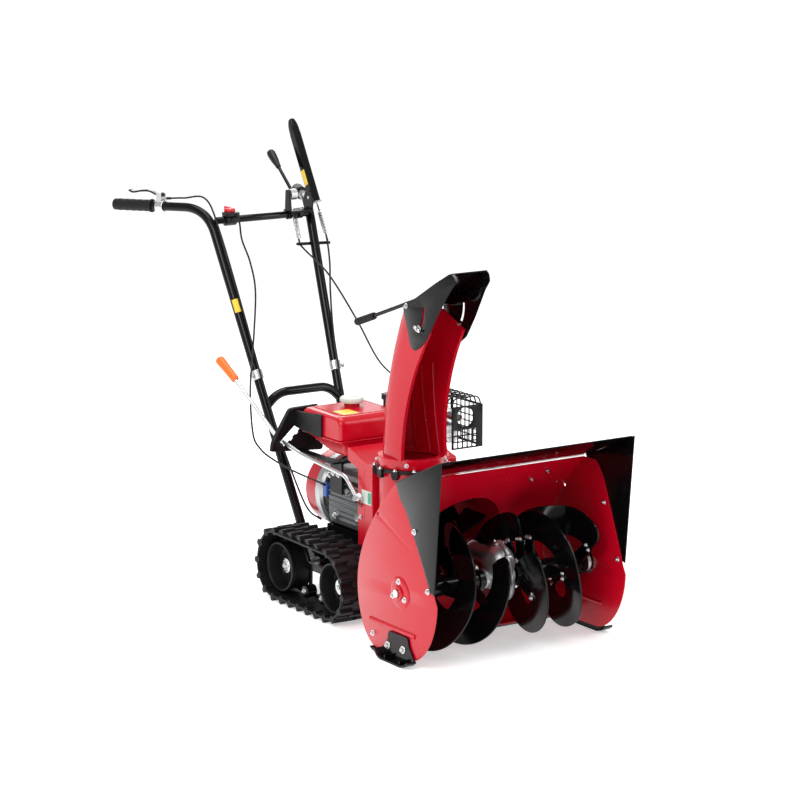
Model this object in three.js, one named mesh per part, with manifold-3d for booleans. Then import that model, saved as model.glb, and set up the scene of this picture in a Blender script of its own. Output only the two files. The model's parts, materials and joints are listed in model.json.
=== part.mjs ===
// Two stage snowblower on rubber tracks, built as separate named pieces.
// Millimetres, +Z up. The front (the auger) faces -Y, and +X is the operator's left when facing +Y.
// Every y below is measured backwards from the auger axle. The whole machine is then moved forward by
// BOX_MIDDLE_Y, so that the exported origin is the centre of the box's floor.

import * as THREE from 'three';
import { mergeVertices } from 'three/addons/utils/BufferGeometryUtils.js';
import Module from 'manifold-3d';

const wasm = await Module();
wasm.setup();

// ---------- driving dimensions ----------
const BOX_MIDDLE_Y = 615;
const GAP = 0.3;
const SHEET = 3;

const HOUSING_HALF_WIDTH = 280;
const AUGER_Z = 173;
const AUGER_RADIUS = 152;
const IMPELLER_Z = 220;
const DRUM_RADIUS = 130;
const DRUM_REAR_Y = 330;

const CHUTE_X = -68;
const CHUTE_Y = 270;
const COLLAR_Z = 413;
const COLLAR_RADIUS = 86;
const COLLAR_HEIGHT = 26;
const CHUTE_TOP_Z = 820;
const DEFLECTOR_HINGE = { y: 205, z: 826 };

const CRANK_Z = 265;
const FILLER = { x: -42, y: 590 };
const TRACK_AXLE_Z = 88;
const DRIVE_AXLE_Y = 650;
const IDLER_AXLE_Y = 390;
const TRACK_INNER_X = 145;
const TRACK_OUTER_X = 250;

const TUBE_RADIUS = 12.5;
const HANDLE_FOOT = { x: 90, y: 760, z: 150 };
const HANDLE_BEND = { x: 157, y: 1128, z: 962 };
const GRIP_TIP = { x: 288, y: 1398, z: 952 };
const CROSSBAR = { y: 1108, z: 929, radius: 10 };

// ---------- colours ----------
const paint = (colour, roughness, metalness) =>
  new THREE.MeshStandardMaterial({ color: colour, roughness, metalness });
const RED = paint(0xc4101c, 0.3, 0.1);
const BLACK = paint(0x16171a, 0.4, 0.1);
const RUBBER = paint(0x1c1c1d, 0.85, 0);
const PLASTIC = paint(0x202225, 0.55, 0);
const STEEL = paint(0xb8bcc0, 0.3, 0.9);
const ALUMINIUM = paint(0x9fa2a5, 0.45, 0.8);
const ORANGE = paint(0xff6414, 0.45, 0);
const WHITE = paint(0xe6efe9, 0.5, 0);

// ---------- helpers ----------
const machine = new THREE.Group();
machine.position.y = -BOX_MIDDLE_Y;

function add(name, geometry, material, parent = machine) {
  const mesh = new THREE.Mesh(geometry, material);
  mesh.name = name;
  parent.add(mesh);
  return mesh;
}

function solid(geometry) {
  const bare = geometry.clone();
  bare.deleteAttribute('normal');
  bare.deleteAttribute('uv');
  const merged = mergeVertices(bare, 1e-4);
  const mesh = new wasm.Mesh({
    numProp: 3,
    vertProperties: new Float32Array(merged.attributes.position.array),
    triVerts: new Uint32Array(merged.index.array),
  });
  return new wasm.Manifold(mesh);
}

function surface(body) {
  const mesh = body.getMesh();
  const geometry = new THREE.BufferGeometry();
  geometry.setAttribute('position', new THREE.BufferAttribute(mesh.vertProperties, 3));
  geometry.setIndex(new THREE.BufferAttribute(mesh.triVerts, 1));
  geometry.computeVertexNormals();
  return geometry;
}

const join = (...bodies) => bodies.reduce((whole, body) => whole.add(body));
const vector = (x, y, z) => new THREE.Vector3(x, y, z);
const SIDES = [['right', -1], ['left', 1]];

// The stretch between two distances from the middle plane, on the side that the sign gives.
const span = (sign, inner, outer) => (sign < 0 ? [-outer, -inner] : [inner, outer]);

// A closed outline from corner points, given as [a, b] pairs or as Vector2.
function outline(corners) {
  return new THREE.Shape(corners.map((c) => (c.isVector2 ? c : new THREE.Vector2(c[0], c[1]))));
}

function extruded(shape, depth, steps = 1, curveSegments = 12) {
  return new THREE.ExtrudeGeometry(shape, { depth, steps, curveSegments, bevelEnabled: false });
}

// The outline's first axis is y and its second is z. It runs from x0 to x1.
function alongX(shape, x0, x1, curveSegments) {
  const basis = new THREE.Matrix4().makeBasis(vector(0, 1, 0), vector(0, 0, 1), vector(1, 0, 0));
  return solid(extruded(shape, x1 - x0, 1, curveSegments).applyMatrix4(basis).translate(x0, 0, 0));
}

// The outline's first axis is x and its second is z. It runs from y0 to y1.
function alongY(shape, y0, y1, curveSegments) {
  const basis = new THREE.Matrix4().makeBasis(vector(1, 0, 0), vector(0, 0, 1), vector(0, -1, 0));
  return solid(extruded(shape, y1 - y0, 1, curveSegments).applyMatrix4(basis).translate(0, y1, 0));
}

// The outline lies in plan and runs from z0 to z1.
function alongZ(shape, z0, z1, curveSegments) {
  return solid(extruded(shape, z1 - z0, 1, curveSegments).translate(0, 0, z0));
}

function box(x0, x1, y0, y1, z0, z1) {
  const geometry = new THREE.BoxGeometry(x1 - x0, y1 - y0, z1 - z0);
  return solid(geometry.translate((x0 + x1) / 2, (y0 + y1) / 2, (z0 + z1) / 2));
}

// A round bar between two points, or a cone when the two radii differ.
function bar(from, to, radius, sides = 12, endRadius = radius) {
  const span = to.clone().sub(from);
  const geometry = new THREE.CylinderGeometry(endRadius, radius, span.length(), sides);
  const turn = new THREE.Quaternion().setFromUnitVectors(vector(0, 1, 0), span.clone().normalize());
  geometry.applyQuaternion(turn);
  const middle = from.clone().add(to).multiplyScalar(0.5);
  return solid(geometry.translate(middle.x, middle.y, middle.z));
}

const barX = (x0, x1, y, z, radius, sides) => bar(vector(x0, y, z), vector(x1, y, z), radius, sides);
const barY = (y0, y1, x, z, radius, sides) => bar(vector(x, y0, z), vector(x, y1, z), radius, sides);
const barZ = (z0, z1, x, y, radius, sides) => bar(vector(x, y, z0), vector(x, y, z1), radius, sides);

// A path of straight runs with a rounded bend of the given reach at each inner point.
function bentPath(points, reach) {
  const path = new THREE.CurvePath();
  let start = points[0];
  for (let i = 1; i < points.length - 1; i += 1) {
    const corner = points[i];
    const before = corner.clone().add(points[i - 1].clone().sub(corner).setLength(reach));
    const after = corner.clone().add(points[i + 1].clone().sub(corner).setLength(reach));
    path.add(new THREE.LineCurve3(start, before));
    path.add(new THREE.QuadraticBezierCurve3(before, corner, after));
    start = after;
  }
  path.add(new THREE.LineCurve3(start, points[points.length - 1]));
  return path;
}

function circle(radius, sides) {
  const corners = [];
  for (let i = 0; i < sides; i += 1) {
    const angle = (i / sides) * Math.PI * 2;
    corners.push([radius * Math.cos(angle), radius * Math.sin(angle)]);
  }
  return outline(corners);
}

function tube(path, radius, steps, sides = 10) {
  return new THREE.ExtrudeGeometry(circle(radius, sides), { extrudePath: path, steps, bevelEnabled: false });
}

function cable(points, radius, steps) {
  return tube(new THREE.CatmullRomCurve3(points, false, 'centripetal'), radius, steps, 8);
}

// A strip of sheet that follows a line of points, with its thickness centred on them.
function sheetOutline(points, thickness) {
  const front = [];
  const back = [];
  points.forEach((point, i) => {
    const before = points[Math.max(i - 1, 0)];
    const after = points[Math.min(i + 1, points.length - 1)];
    const normal = new THREE.Vector2(before.y - after.y, after.x - before.x).setLength(thickness / 2);
    front.push(point.clone().add(normal));
    back.unshift(point.clone().sub(normal));
  });
  return outline([...front, ...back]);
}

// ---------- auger housing ----------
// The side plate's rear edge and the wrapper that follows it, from the top corner to the scraper.
const wrapperCurve = new THREE.CubicBezierCurve(
  new THREE.Vector2(20, 437),
  new THREE.Vector2(96, 368),
  new THREE.Vector2(190, 265),
  new THREE.Vector2(190, 160),
);
const wrapperFoot = new THREE.CubicBezierCurve(
  new THREE.Vector2(190, 160),
  new THREE.Vector2(190, 90),
  new THREE.Vector2(155, 14),
  new THREE.Vector2(108, 13),
);

function wrapperLine(inset) {
  const line = [...wrapperCurve.getPoints(9), ...wrapperFoot.getPoints(6).slice(1)];
  return line.map((point) => new THREE.Vector2(point.x - inset, point.y));
}

function sidePlateShape() {
  const shape = new THREE.Shape();
  shape.moveTo(20, 437);
  shape.bezierCurveTo(96, 368, 190, 265, 190, 160);
  shape.bezierCurveTo(190, 90, 155, 12, 99, 12);
  shape.lineTo(-42, 14);
  shape.bezierCurveTo(-105, 20, -156, 95, -157, 172);
  shape.lineTo(-128, 190);
  shape.lineTo(-62, 391);
  shape.lineTo(-34, 437);
  return shape;
}

function housing() {
  const wall = HOUSING_HALF_WIDTH - SHEET;
  const inset = 3.5;
  const shell = alongX(sheetOutline(wrapperLine(inset), SHEET), -wall + GAP, wall - GAP);
  const throat = barY(60, 260, 0, IMPELLER_Z, DRUM_RADIUS, 24);
  add('housing_shell', surface(shell.subtract(throat)), RED);

  for (const [side, sign] of SIDES) {
    const [x0, x1] = span(sign, wall, HOUSING_HALF_WIDTH);
    const hole = barX(x0 - 5, x1 + 5, 0, AUGER_Z, 16, 16);
    add(`side_plate_${side}`, surface(alongX(sidePlateShape(), x0, x1, 8).subtract(hole)), RED);
  }
}

// The sheet metal extension that makes the intake taller: a wing on each side and a lip across the top.
function extension() {
  const front = { y: -180, z: 525 };
  const wing = outline([[-3, 407], [14, 441], [front.y, front.z], [-150, 199], [-132, 208], [-107, 253],
    [-68, 318], [-34, 374]]);
  for (const [side, sign] of SIDES) {
    const inner = HOUSING_HALF_WIDTH + GAP;
    add(`wing_${side}`, surface(alongX(wing, ...span(sign, inner, inner + SHEET))), BLACK);
  }
  const reach = HOUSING_HALF_WIDTH;
  const lip = [[17, 440.3], [-40, 466], [front.y + 8, front.z - 3]].map((p) => new THREE.Vector2(...p));
  add('top_lip', surface(alongX(sheetOutline(lip, SHEET), -reach, reach)), BLACK);
}

function skids() {
  const sole = outline([[79, 20], [66, 6], [52, 0], [-38, 0], [-60, 6], [-73, 16], [-69, 21], [-58, 11],
    [-37, 5], [50, 5], [62, 10], [74, 24]]);
  const upright = outline([[44, 70], [46, 50], [64, 30], [76, 20], [66, 8], [52, 2], [-38, 2], [-60, 8],
    [-71, 17], [-47, 48], [-40, 71]]);
  for (const [side, sign] of SIDES) {
    const inner = HOUSING_HALF_WIDTH + GAP;
    const plate = alongX(upright, ...span(sign, inner, inner + 5));
    const foot = alongX(sole, ...span(sign, inner, inner + 26));
    add(`skid_${side}`, surface(join(plate, foot)), BLACK);
  }
}

function scraper() {
  const reach = HOUSING_HALF_WIDTH + 4;
  const section = outline([[112, 4], [118, 4], [132, 10.5], [104, 10.5]]);
  add('scraper_bar', surface(alongX(section, -reach, reach)), BLACK);
}

// Flanged bearings that carry the auger axle, one outside each side plate.
function axleBearings() {
  const face = HOUSING_HALF_WIDTH + GAP;
  for (const [side, sign] of SIDES) {
    const flange = barX(...span(sign, face, face + 3), 0, AUGER_Z, 34, 24);
    const boss = barX(...span(sign, face + 2.9, face + 9), 0, AUGER_Z, 18, 24);
    const bore = barX(...span(sign, face - 1, face + 12), 0, AUGER_Z, 10.3, 16);
    add(`axle_bearing_${side}`, surface(join(flange, boss).subtract(bore)), RED);
  }
}

// ---------- auger ----------
const FLIGHT_THICKNESS = 5;
const FLIGHT_INNER_RADIUS = 78;
const AUGER_RIGHT_SHIFT = 22;
// The strips of one auger half, as [turn, distance from the middle of the machine]. Turn 0 faces forwards
// and a quarter of a turn faces down. The arms stand at shares of each strip's length.
const FLIGHTS = [
  { stations: [[-0.11, 28], [0, 45], [0.25, 92], [0.45, 122]], arms: [0.45, 0.95] },
  { stations: [[0.6, 128], [0.69, 152], [0.76, 208], [0.83, 226], [0.9, 235]], arms: [0.05, 0.95] },
  { stations: [[0.52, 34], [0.62, 44], [0.735, 82]], arms: [0.74, 0.95] },
  { stations: [[0.7, 104], [0.83, 124], [1, 144], [1.13, 174], [1.25, 192], [1.42, 222]],
    arms: [0.04, 0.4, 0.96] },
];

// A strip wound round the auger axle: a straight bar whose corners are moved onto its winding path.
function flight(sign, path) {
  const turns = path.points.at(-1).x - path.points[0].x;
  const strip = new THREE.BoxGeometry(1, 1, 1, Math.ceil(turns * 18), 1, 1);
  const position = strip.attributes.position;
  for (let i = 0; i < position.count; i += 1) {
    const { x: turn, y: middle } = path.getPoint(position.getX(i) + 0.5);
    const radius = position.getY(i) < 0 ? FLIGHT_INNER_RADIUS : AUGER_RADIUS;
    const x = middle - position.getZ(i) * FLIGHT_THICKNESS;
    const angle = turn * Math.PI * 2;
    position.setXYZ(i, sign * x, -radius * Math.cos(angle), -radius * Math.sin(angle));
  }
  return sign < 0 ? turnedInsideOut(strip) : strip;
}

// Reverses every triangle, which a mirrored shape needs.
function turnedInsideOut(geometry) {
  const { index } = geometry;
  for (let i = 0; i < index.count; i += 3) {
    const first = index.getX(i);
    index.setX(i, index.getX(i + 1));
    index.setX(i + 1, first);
  }
  return geometry;
}

// A flat arm that carries a strip from the tube, at one share of its path.
function flightArm(sign, path, share) {
  const { x: turn, y: middle } = path.getPoint(share);
  const arm = new THREE.BoxGeometry(6, 66, 34).translate(0, -55, 0);
  arm.rotateX(turn * Math.PI * 2);
  return arm.translate(sign * middle, 0, 0);
}

// Each half carries strips that wind outwards from the gear case and lead the snow towards it.
function auger() {
  const bore = 12.8;
  for (const [side, sign] of SIDES) {
    const shift = sign < 0 ? AUGER_RIGHT_SHIFT : 0;
    let body = barX(...span(sign, 48, 262), 0, 0, 24, 16);
    for (const { stations, arms } of FLIGHTS) {
      const path = new THREE.SplineCurve(stations.map(([turn, x]) => new THREE.Vector2(turn, x + shift)));
      body = body.add(solid(flight(sign, path)));
      for (const share of arms) body = body.add(solid(flightArm(sign, path, share)));
    }
    const shearBolt = barZ(-34, 34, sign * 60, 0, 5, 6);
    const room = barX(...span(sign, 40, 270), 0, 0, bore, 16);
    body = join(body, shearBolt).subtract(room);
    add(`auger_${side}`, surface(body).translate(0, 0, AUGER_Z), BLACK);
  }
  const reach = HOUSING_HALF_WIDTH + 14;
  const shaft = barX(-reach, reach, 0, AUGER_Z, 10, 16);
  const middle = barX(-265, 265, 0, AUGER_Z, 12.5, 16);
  const wormWheel = barX(-8, 8, 0, AUGER_Z, 31, 24);
  add('auger_shaft', surface(join(shaft, middle, wormWheel)), STEEL);
}

// The gear case between the two auger halves: two cast halves that meet at an upright flange. The dome holds
// the worm, and the belly under it holds the wheel on the auger axle.
function gearCase() {
  const flangeLine = outline([[-12, 266], [9, 258], [27, 241], [40, 222], [44, 205], [40, 186], [35, 158],
    [31, 130], [22, 108], [0, 97], [-28, 104], [-48, 128], [-58, 165], [-63, 205], [-57, 238], [-38, 258]]);
  const half = (sign) => {
    const dome = new THREE.SphereGeometry(47, 14, 8);
    dome.scale(0.8, 1, 1);
    dome.translate(0, -10, AUGER_Z + 37);
    const belly = barX(-24, 24, -6, AUGER_Z - 13, 50, 20);
    const neck = bar(vector(0, 20, IMPELLER_Z - 2), vector(0, 120, IMPELLER_Z), 24, 18, 19);
    const flange = alongX(flangeLine, -6, 6);
    const boss = barX(-44, 44, 0, AUGER_Z, 25, 16);
    const outer = join(solid(dome), belly, neck, flange, boss);
    const hollow = join(
      barX(-12, 12, 0, AUGER_Z, 34, 24),
      barY(-32, 60, 0, IMPELLER_Z, 16.5, 16),
      barX(-60, 60, 0, AUGER_Z, 12.8, 16),
      barY(50, 140, 0, IMPELLER_Z, 11, 16),
    );
    const keep = sign < 0 ? box(-90, -GAP / 2, -90, 160, 60, 330) : box(GAP / 2, 90, -90, 160, 60, 330);
    return outer.subtract(hollow).intersect(keep);
  };
  add('gear_case_right', surface(half(-1)), ALUMINIUM);
  add('gear_case_left', surface(half(1)), ALUMINIUM);
}

// ---------- impeller ----------
function impellerDrum() {
  const outer = DRUM_RADIUS + SHEET;
  const spoutOuter = COLLAR_RADIUS - 4;
  const spoutInner = spoutOuter - SHEET;
  const body = join(
    barY(90, DRUM_REAR_Y + SHEET, 0, IMPELLER_Z, outer, 24),
    barZ(IMPELLER_Z + 20, COLLAR_Z + 12, CHUTE_X, CHUTE_Y, spoutOuter, 24),
  );
  const hollow = join(
    barY(50, DRUM_REAR_Y, 0, IMPELLER_Z, DRUM_RADIUS, 24),
    barZ(IMPELLER_Z + 20 + SHEET, COLLAR_Z + 20, CHUTE_X, CHUTE_Y, spoutInner, 24),
    barY(DRUM_REAR_Y - 5, DRUM_REAR_Y + 10, 0, IMPELLER_Z, 14, 16),
  );
  const rear = wrapperLine(3.5 - SHEET / 2 - GAP * 2);
  const ahead = outline([...rear, [-40, 13], [-40, 437]]);
  const front = alongX(ahead, -HOUSING_HALF_WIDTH, HOUSING_HALF_WIDTH);
  add('impeller_drum', surface(body.subtract(hollow).subtract(front)), RED);
}

function impeller() {
  const blade = outline([[16, -2], [DRUM_RADIUS - 8, -2], [DRUM_RADIUS - 8, 2], [16, 2]]);
  let fan = barY(196, 300, 0, 0, 22, 16);
  for (let i = 0; i < 4; i += 1) {
    const paddle = surface(alongY(blade, 200, 296)).rotateY((i * Math.PI) / 2 + 0.35);
    fan = join(fan, solid(paddle));
  }
  fan = join(fan, barY(292, 297, 0, 0, 96, 28)).subtract(barY(180, 320, 0, 0, 10.3, 16));
  add('impeller_fan', surface(fan).translate(0, 0, IMPELLER_Z), BLACK);

  const shaft = barY(-24, 372, 0, IMPELLER_Z, 10, 16);
  const worm = barY(-20, 40, 0, IMPELLER_Z, 14.5, 16);
  const pulley = barY(352, 370, 0, IMPELLER_Z, 92, 24);
  add('impeller_shaft', surface(join(shaft, worm, pulley)), STEEL);
}

// ---------- chute ----------
function chuteLean(z) {
  const share = Math.max(0, (z - 456) / 304);
  return { share, back: 56 * share ** 2, front: 95 * share ** 2.1, halfWidth: 70 - 15 * share };
}

function chuteProfile() {
  const shape = new THREE.Shape();
  const radius = 70;
  const reach = -60;
  const wall = 2.6;
  shape.moveTo(radius, reach);
  shape.lineTo(radius, 0);
  shape.absarc(0, 0, radius, 0, Math.PI, false);
  shape.lineTo(-radius, reach);
  shape.lineTo(-radius + 11, reach);
  shape.lineTo(-radius + 11, reach + wall);
  shape.lineTo(-radius + wall, reach + wall);
  shape.lineTo(-radius + wall, 0);
  shape.absarc(0, 0, radius - wall, Math.PI, 0, true);
  shape.lineTo(radius - wall, reach + wall);
  shape.lineTo(radius - 11, reach + wall);
  shape.lineTo(radius - 11, reach);
  return shape;
}

function chute() {
  const baseZ = COLLAR_Z + COLLAR_HEIGHT - 3;
  const channel = extruded(chuteProfile(), CHUTE_TOP_Z - baseZ, 7, 6).translate(0, 0, baseZ);
  const position = channel.attributes.position;
  for (let i = 0; i < position.count; i += 1) {
    const z = position.getZ(i);
    const { back, front, halfWidth } = chuteLean(z);
    const y = position.getY(i);
    const frontShare = y < 0 ? Math.min(1, -y / 57) : 0;
    const leaned = y - (back + (front - back) * frontShare);
    position.setX(i, (position.getX(i) * halfWidth) / 70 + CHUTE_X);
    position.setY(i, CHUTE_Y + 5 + leaned);
  }
  const topCut = outline([[300, 814], [205, 808], [104, 766], [0, 736], [0, 900], [300, 900]]);
  const cutter = alongX(topCut, CHUTE_X - 100, CHUTE_X + 100);
  const ring = barZ(COLLAR_Z, COLLAR_Z + COLLAR_HEIGHT, CHUTE_X, CHUTE_Y, COLLAR_RADIUS, 24);
  const ringHole = barZ(COLLAR_Z + 15, COLLAR_Z + 40, CHUTE_X, CHUTE_Y, COLLAR_RADIUS - 18, 24);
  const seatHole = barZ(COLLAR_Z - 5, COLLAR_Z + 16, CHUTE_X, CHUTE_Y, COLLAR_RADIUS - 2.9, 24);
  let whole = join(solid(channel).subtract(cutter), ring.subtract(join(ringHole, seatHole)));
  for (const sign of [-1, 1]) whole = whole.add(clampStud(sign));
  add('chute', surface(whole), RED);

  const seat = barZ(COLLAR_Z - 9, COLLAR_Z - GAP, CHUTE_X, CHUTE_Y, COLLAR_RADIUS + 5, 24);
  const spout = barZ(COLLAR_Z - 20, COLLAR_Z + 10, CHUTE_X, CHUTE_Y, COLLAR_RADIUS - 3.7, 24);
  add('chute_seat', surface(seat.subtract(spout)), PLASTIC);
}

// A stud on the chute's side, with its nut, that the deflector's curved slot slides along.
const SLOT_RADIUS = 75.5;
const SLOT_START = THREE.MathUtils.degToRad(174);
const SLOT_END = THREE.MathUtils.degToRad(224);
const STUD_AT = THREE.MathUtils.degToRad(219.5);

function clampStud(sign) {
  const y = DEFLECTOR_HINGE.y + SLOT_RADIUS * Math.cos(STUD_AT);
  const z = DEFLECTOR_HINGE.z + SLOT_RADIUS * Math.sin(STUD_AT);
  const reach = (from, to) => span(sign, from, to).map((x) => x + CHUTE_X);
  return join(barX(...reach(50, 72), y, z, 3.5, 10), barX(...reach(61, 69), y, z, 9, 6));
}

function deflector() {
  const inner = 57.5;
  const wing = outline([[217, 812], [218, 822], [147, 861], [25, 929], [12, 922], [6, 905], [30, 880],
    [117, 752], [150, 729], [166, 721], [182, 724], [190, 738]]);
  const hood = outline([[217, 819], [218, 822], [147, 861], [25, 929], [22, 927], [145, 857.6]]);
  const slot = new THREE.Shape();
  const { y, z } = DEFLECTOR_HINGE;
  slot.absarc(y, z, SLOT_RADIUS + 4.5, SLOT_START, SLOT_END, false);
  slot.absarc(y, z, SLOT_RADIUS - 4.5, SLOT_END, SLOT_START, true);
  const slots = alongX(slot, CHUTE_X - 80, CHUTE_X + 80, 8);
  const body = join(
    alongX(wing, CHUTE_X - inner - 2.6, CHUTE_X - inner),
    alongX(wing, CHUTE_X + inner, CHUTE_X + inner + 2.6),
    alongX(hood, CHUTE_X - inner - 1, CHUTE_X + inner + 1),
  );
  add('deflector', surface(body.subtract(slots)), BLACK);

  const root = vector(-70, 196, 846);
  const shoulder = vector(-70, 440, 762);
  const tip = vector(-70, 522, 734);
  const lever = join(bar(root, shoulder, 5, 10), bar(shoulder, tip, 10, 12));
  add('deflector_lever', surface(lever), BLACK);
}

// ---------- power unit ----------
function beltCover() {
  const side = outline([[337, 120.3], [337, 398], [362, 403], [452, 432], [452, 398], [404, 384],
    [404, 120.3]]);
  const pulleyRoom = barY(345, 380, 0, IMPELLER_Z, 96, 24);
  const crankRoom = barY(345, 420, 0, CRANK_Z, 52, 24);
  const spoutRoom = barZ(140, 450, CHUTE_X, CHUTE_Y, COLLAR_RADIUS - 3.6, 24);
  const shaftRoom = barY(320, 350, 0, IMPELLER_Z, 14, 16);
  const pivotRoom = selectorPin(0, 46, 6.3, 12);
  const inside = box(-138, 108, 341, 400, 100, 380);
  const rooms = join(pulleyRoom, crankRoom, shaftRoom, spoutRoom, pivotRoom, inside);
  const body = alongX(side, -142, 112).subtract(rooms);
  add('belt_cover', surface(body), RED);
}

function engine() {
  const block = outline([[-110, 198], [-112, 300], [-70, 352], [40, 352], [96, 330], [96, 198]]);
  let body = alongY(block, 405, 600);
  for (let i = 0; i < 6; i += 1) {
    const y = 470 + i * 20;
    body = join(body, box(60, 176, y, y + 7, 236, 392));
  }
  body = join(
    body,
    box(60, 160, 470, 577, 250, 380),
    box(-96, 90, 590, 608, 200, 330),
    barY(600, 632, 0, CRANK_Z, 62, 24),
    barY(618, 656, 0, CRANK_Z, 104, 24),
  );
  const crankBore = barY(395, 440, 0, CRANK_Z, 14, 16);
  add('engine_block', surface(body.subtract(crankBore)), ALUMINIUM);

  const crank = join(barY(385, 436, 0, CRANK_Z, 11, 16), barY(385, 403, 0, CRANK_Z, 36, 28));
  add('crank_pulley', surface(crank), STEEL);

  const profile = [[0, 76], [60, 75.5], [84, 74], [95, 67], [98, 56], [98, 0], [102, 0], [102, 60], [98, 72],
    [88, 79], [60, 80], [0, 80]];
  const cover = new THREE.LatheGeometry(profile.map((p) => new THREE.Vector2(...p)), 24);
  add('recoil_cover', cover.translate(0, 656 + GAP, CRANK_Z), RED);
}

function fuelSystem() {
  const { x, y } = FILLER;
  const upper = outline([[474, 437], [664, 437], [664, 486], [650, 501], [488, 501], [474, 488]]);
  const tub = outline([[480, 398], [560, 404], [640, 420], [652, 440], [480, 440]]);
  const neck = barZ(496, 512, x, y, 20, 16);
  const filler = barZ(490, 530, x, y, 16, 16);
  const inside = box(-146, 36, 482, 648, 442, 496);
  const tank = join(alongX(upper, -150, 40), alongX(tub, -126, 16), neck).subtract(join(filler, inside));
  add('fuel_tank', surface(tank), RED);

  const cap = join(barZ(512 + GAP, 527, x, y, 30, 16), barZ(500, 513, x, y, 15.5, 16));
  add('fuel_cap', surface(cap), WHITE);
}

function airCleaner() {
  const body = box(48, 128, 470, 590, 400, 512);
  const lid = box(44, 132, 466, 594, 511, 526);
  add('air_cleaner', surface(join(body, lid)), PLASTIC);
}

function exhaust() {
  const can = outline([[144, 412], [166, 412], [174, 421], [174, 489], [166, 498], [144, 498], [136.5, 489],
    [136.5, 421]]);
  const outlet = barY(398, 424, 156, 483, 11, 16);
  const mouth = barY(390, 420, 156, 483, 8, 16);
  add('muffler', surface(join(alongY(can, 420, 520), outlet).subtract(mouth)), STEEL);

  // A cage round the muffler: a thin box, open to the engine, with slots through its faces.
  const outer = box(134, 230, 390, 530, 400, 512);
  let cage = outer.subtract(join(box(130, 227, 393, 527, 403, 509)));
  cage = cage.subtract(barY(380, 400, 176, 483, 25.7, 16));
  for (let i = 0; i < 5; i += 1) {
    const z = 413 + i * 18;
    cage = cage.subtract(box(220, 240, 402, 518, z, z + 10));
    cage = cage.subtract(box(140, 221, 525, 540, z, z + 10));
  }
  for (let i = 0; i < 6; i += 1) {
    const y = 402 + i * 20;
    cage = cage.subtract(box(142, 221, y, y + 10, 505, 520));
  }
  add('muffler_guard', surface(cage), BLACK);
}

function starter() {
  const grip = barX(-24, 24, 748, CRANK_Z + 62, 8, 10);
  const stem = barY(738, 748, 0, CRANK_Z + 62, 4, 8);
  add('starter_grip', surface(join(grip, stem)), PLASTIC);
}

// ---------- chassis and tracks ----------
function chassis() {
  let body = join(
    box(-110, 110, 334, 404.5, 62, 120),
    box(-110, 110, 404.3, 604, 62, 197.7),
    box(-110, 110, 600, 736, 62, 150),
  );
  for (const [, sign] of SIDES) {
    const ear = outline([[700, 80], [770, 110], [822, 236], [784, 236], [700, 146]]);
    body = join(body, alongX(ear, ...span(sign, 109, 115)));
    body = body.subtract(handleBore(sign, 3));
  }
  const inside = join(
    box(-105, 105, 339, 399, 50, 115),
    box(-105, 105, 409, 599, 50, 192.7),
    box(-105, 105, 390, 731, 50, 115),
    box(-105, 105, 590, 731, 50, 145),
  );
  const axles = join(
    barX(-120, 120, DRIVE_AXLE_Y, TRACK_AXLE_Z, 12.6, 16),
    barX(-120, 120, IDLER_AXLE_Y, TRACK_AXLE_Z, 12.6, 16),
  );
  add('chassis', surface(body.subtract(inside).subtract(axles)), BLACK);
}

// A stadium outline round the two track axles, with lugs when the lug height isn't zero.
function trackLoop(radius, lugHeight, lugs) {
  const length = DRIVE_AXLE_Y - IDLER_AXLE_Y;
  const around = Math.PI * radius;
  const total = 2 * (length + around);
  const at = (distance, out) => {
    const reach = radius + out;
    let rest = ((distance % total) + total) % total;
    if (rest < length) return [IDLER_AXLE_Y + rest, TRACK_AXLE_Z - reach];
    rest -= length;
    if (rest < around) {
      const angle = rest / radius - Math.PI / 2;
      return [DRIVE_AXLE_Y + reach * Math.cos(angle), TRACK_AXLE_Z + reach * Math.sin(angle)];
    }
    rest -= around;
    if (rest < length) return [DRIVE_AXLE_Y - rest, TRACK_AXLE_Z + reach];
    rest -= length;
    const angle = rest / radius + Math.PI / 2;
    return [IDLER_AXLE_Y + reach * Math.cos(angle), TRACK_AXLE_Z + reach * Math.sin(angle)];
  };
  const corners = [];
  const pitch = total / lugs;
  for (let i = 0; i < lugs; i += 1) {
    const start = i * pitch;
    corners.push(at(start, 0));
    if (lugHeight > 0) {
      corners.push(at(start + pitch * 0.06, lugHeight));
      corners.push(at(start + pitch * 0.42, lugHeight));
      corners.push(at(start + pitch * 0.48, 0));
    }
  }
  return outline(corners);
}

function tracks() {
  const beltInner = 68;
  const beltOuter = 78;
  for (const [side, sign] of SIDES) {
    const whole = alongX(trackLoop(beltOuter, TRACK_AXLE_Z - beltOuter, 24), ...span(sign, TRACK_INNER_X,
      TRACK_OUTER_X));
    const room = alongX(trackLoop(beltInner, 0, 28), ...span(sign, TRACK_INNER_X - 5, TRACK_OUTER_X + 5));
    add(`track_belt_${side}`, surface(whole.subtract(room)), RUBBER);

    const rail = box(...span(sign, 188, 208), 470, 570, 66, 112);
    const arm = box(...span(sign, 110 + GAP, 190), 495, 545, 76, 104);
    const rollers = join(
      barX(...span(sign, 170, 228), 490, 50, 22, 16),
      barX(...span(sign, 170, 228), 550, 50, 22, 16),
    );
    add(`track_frame_${side}`, surface(join(rail, arm, rollers)), BLACK);
  }
}

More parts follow.
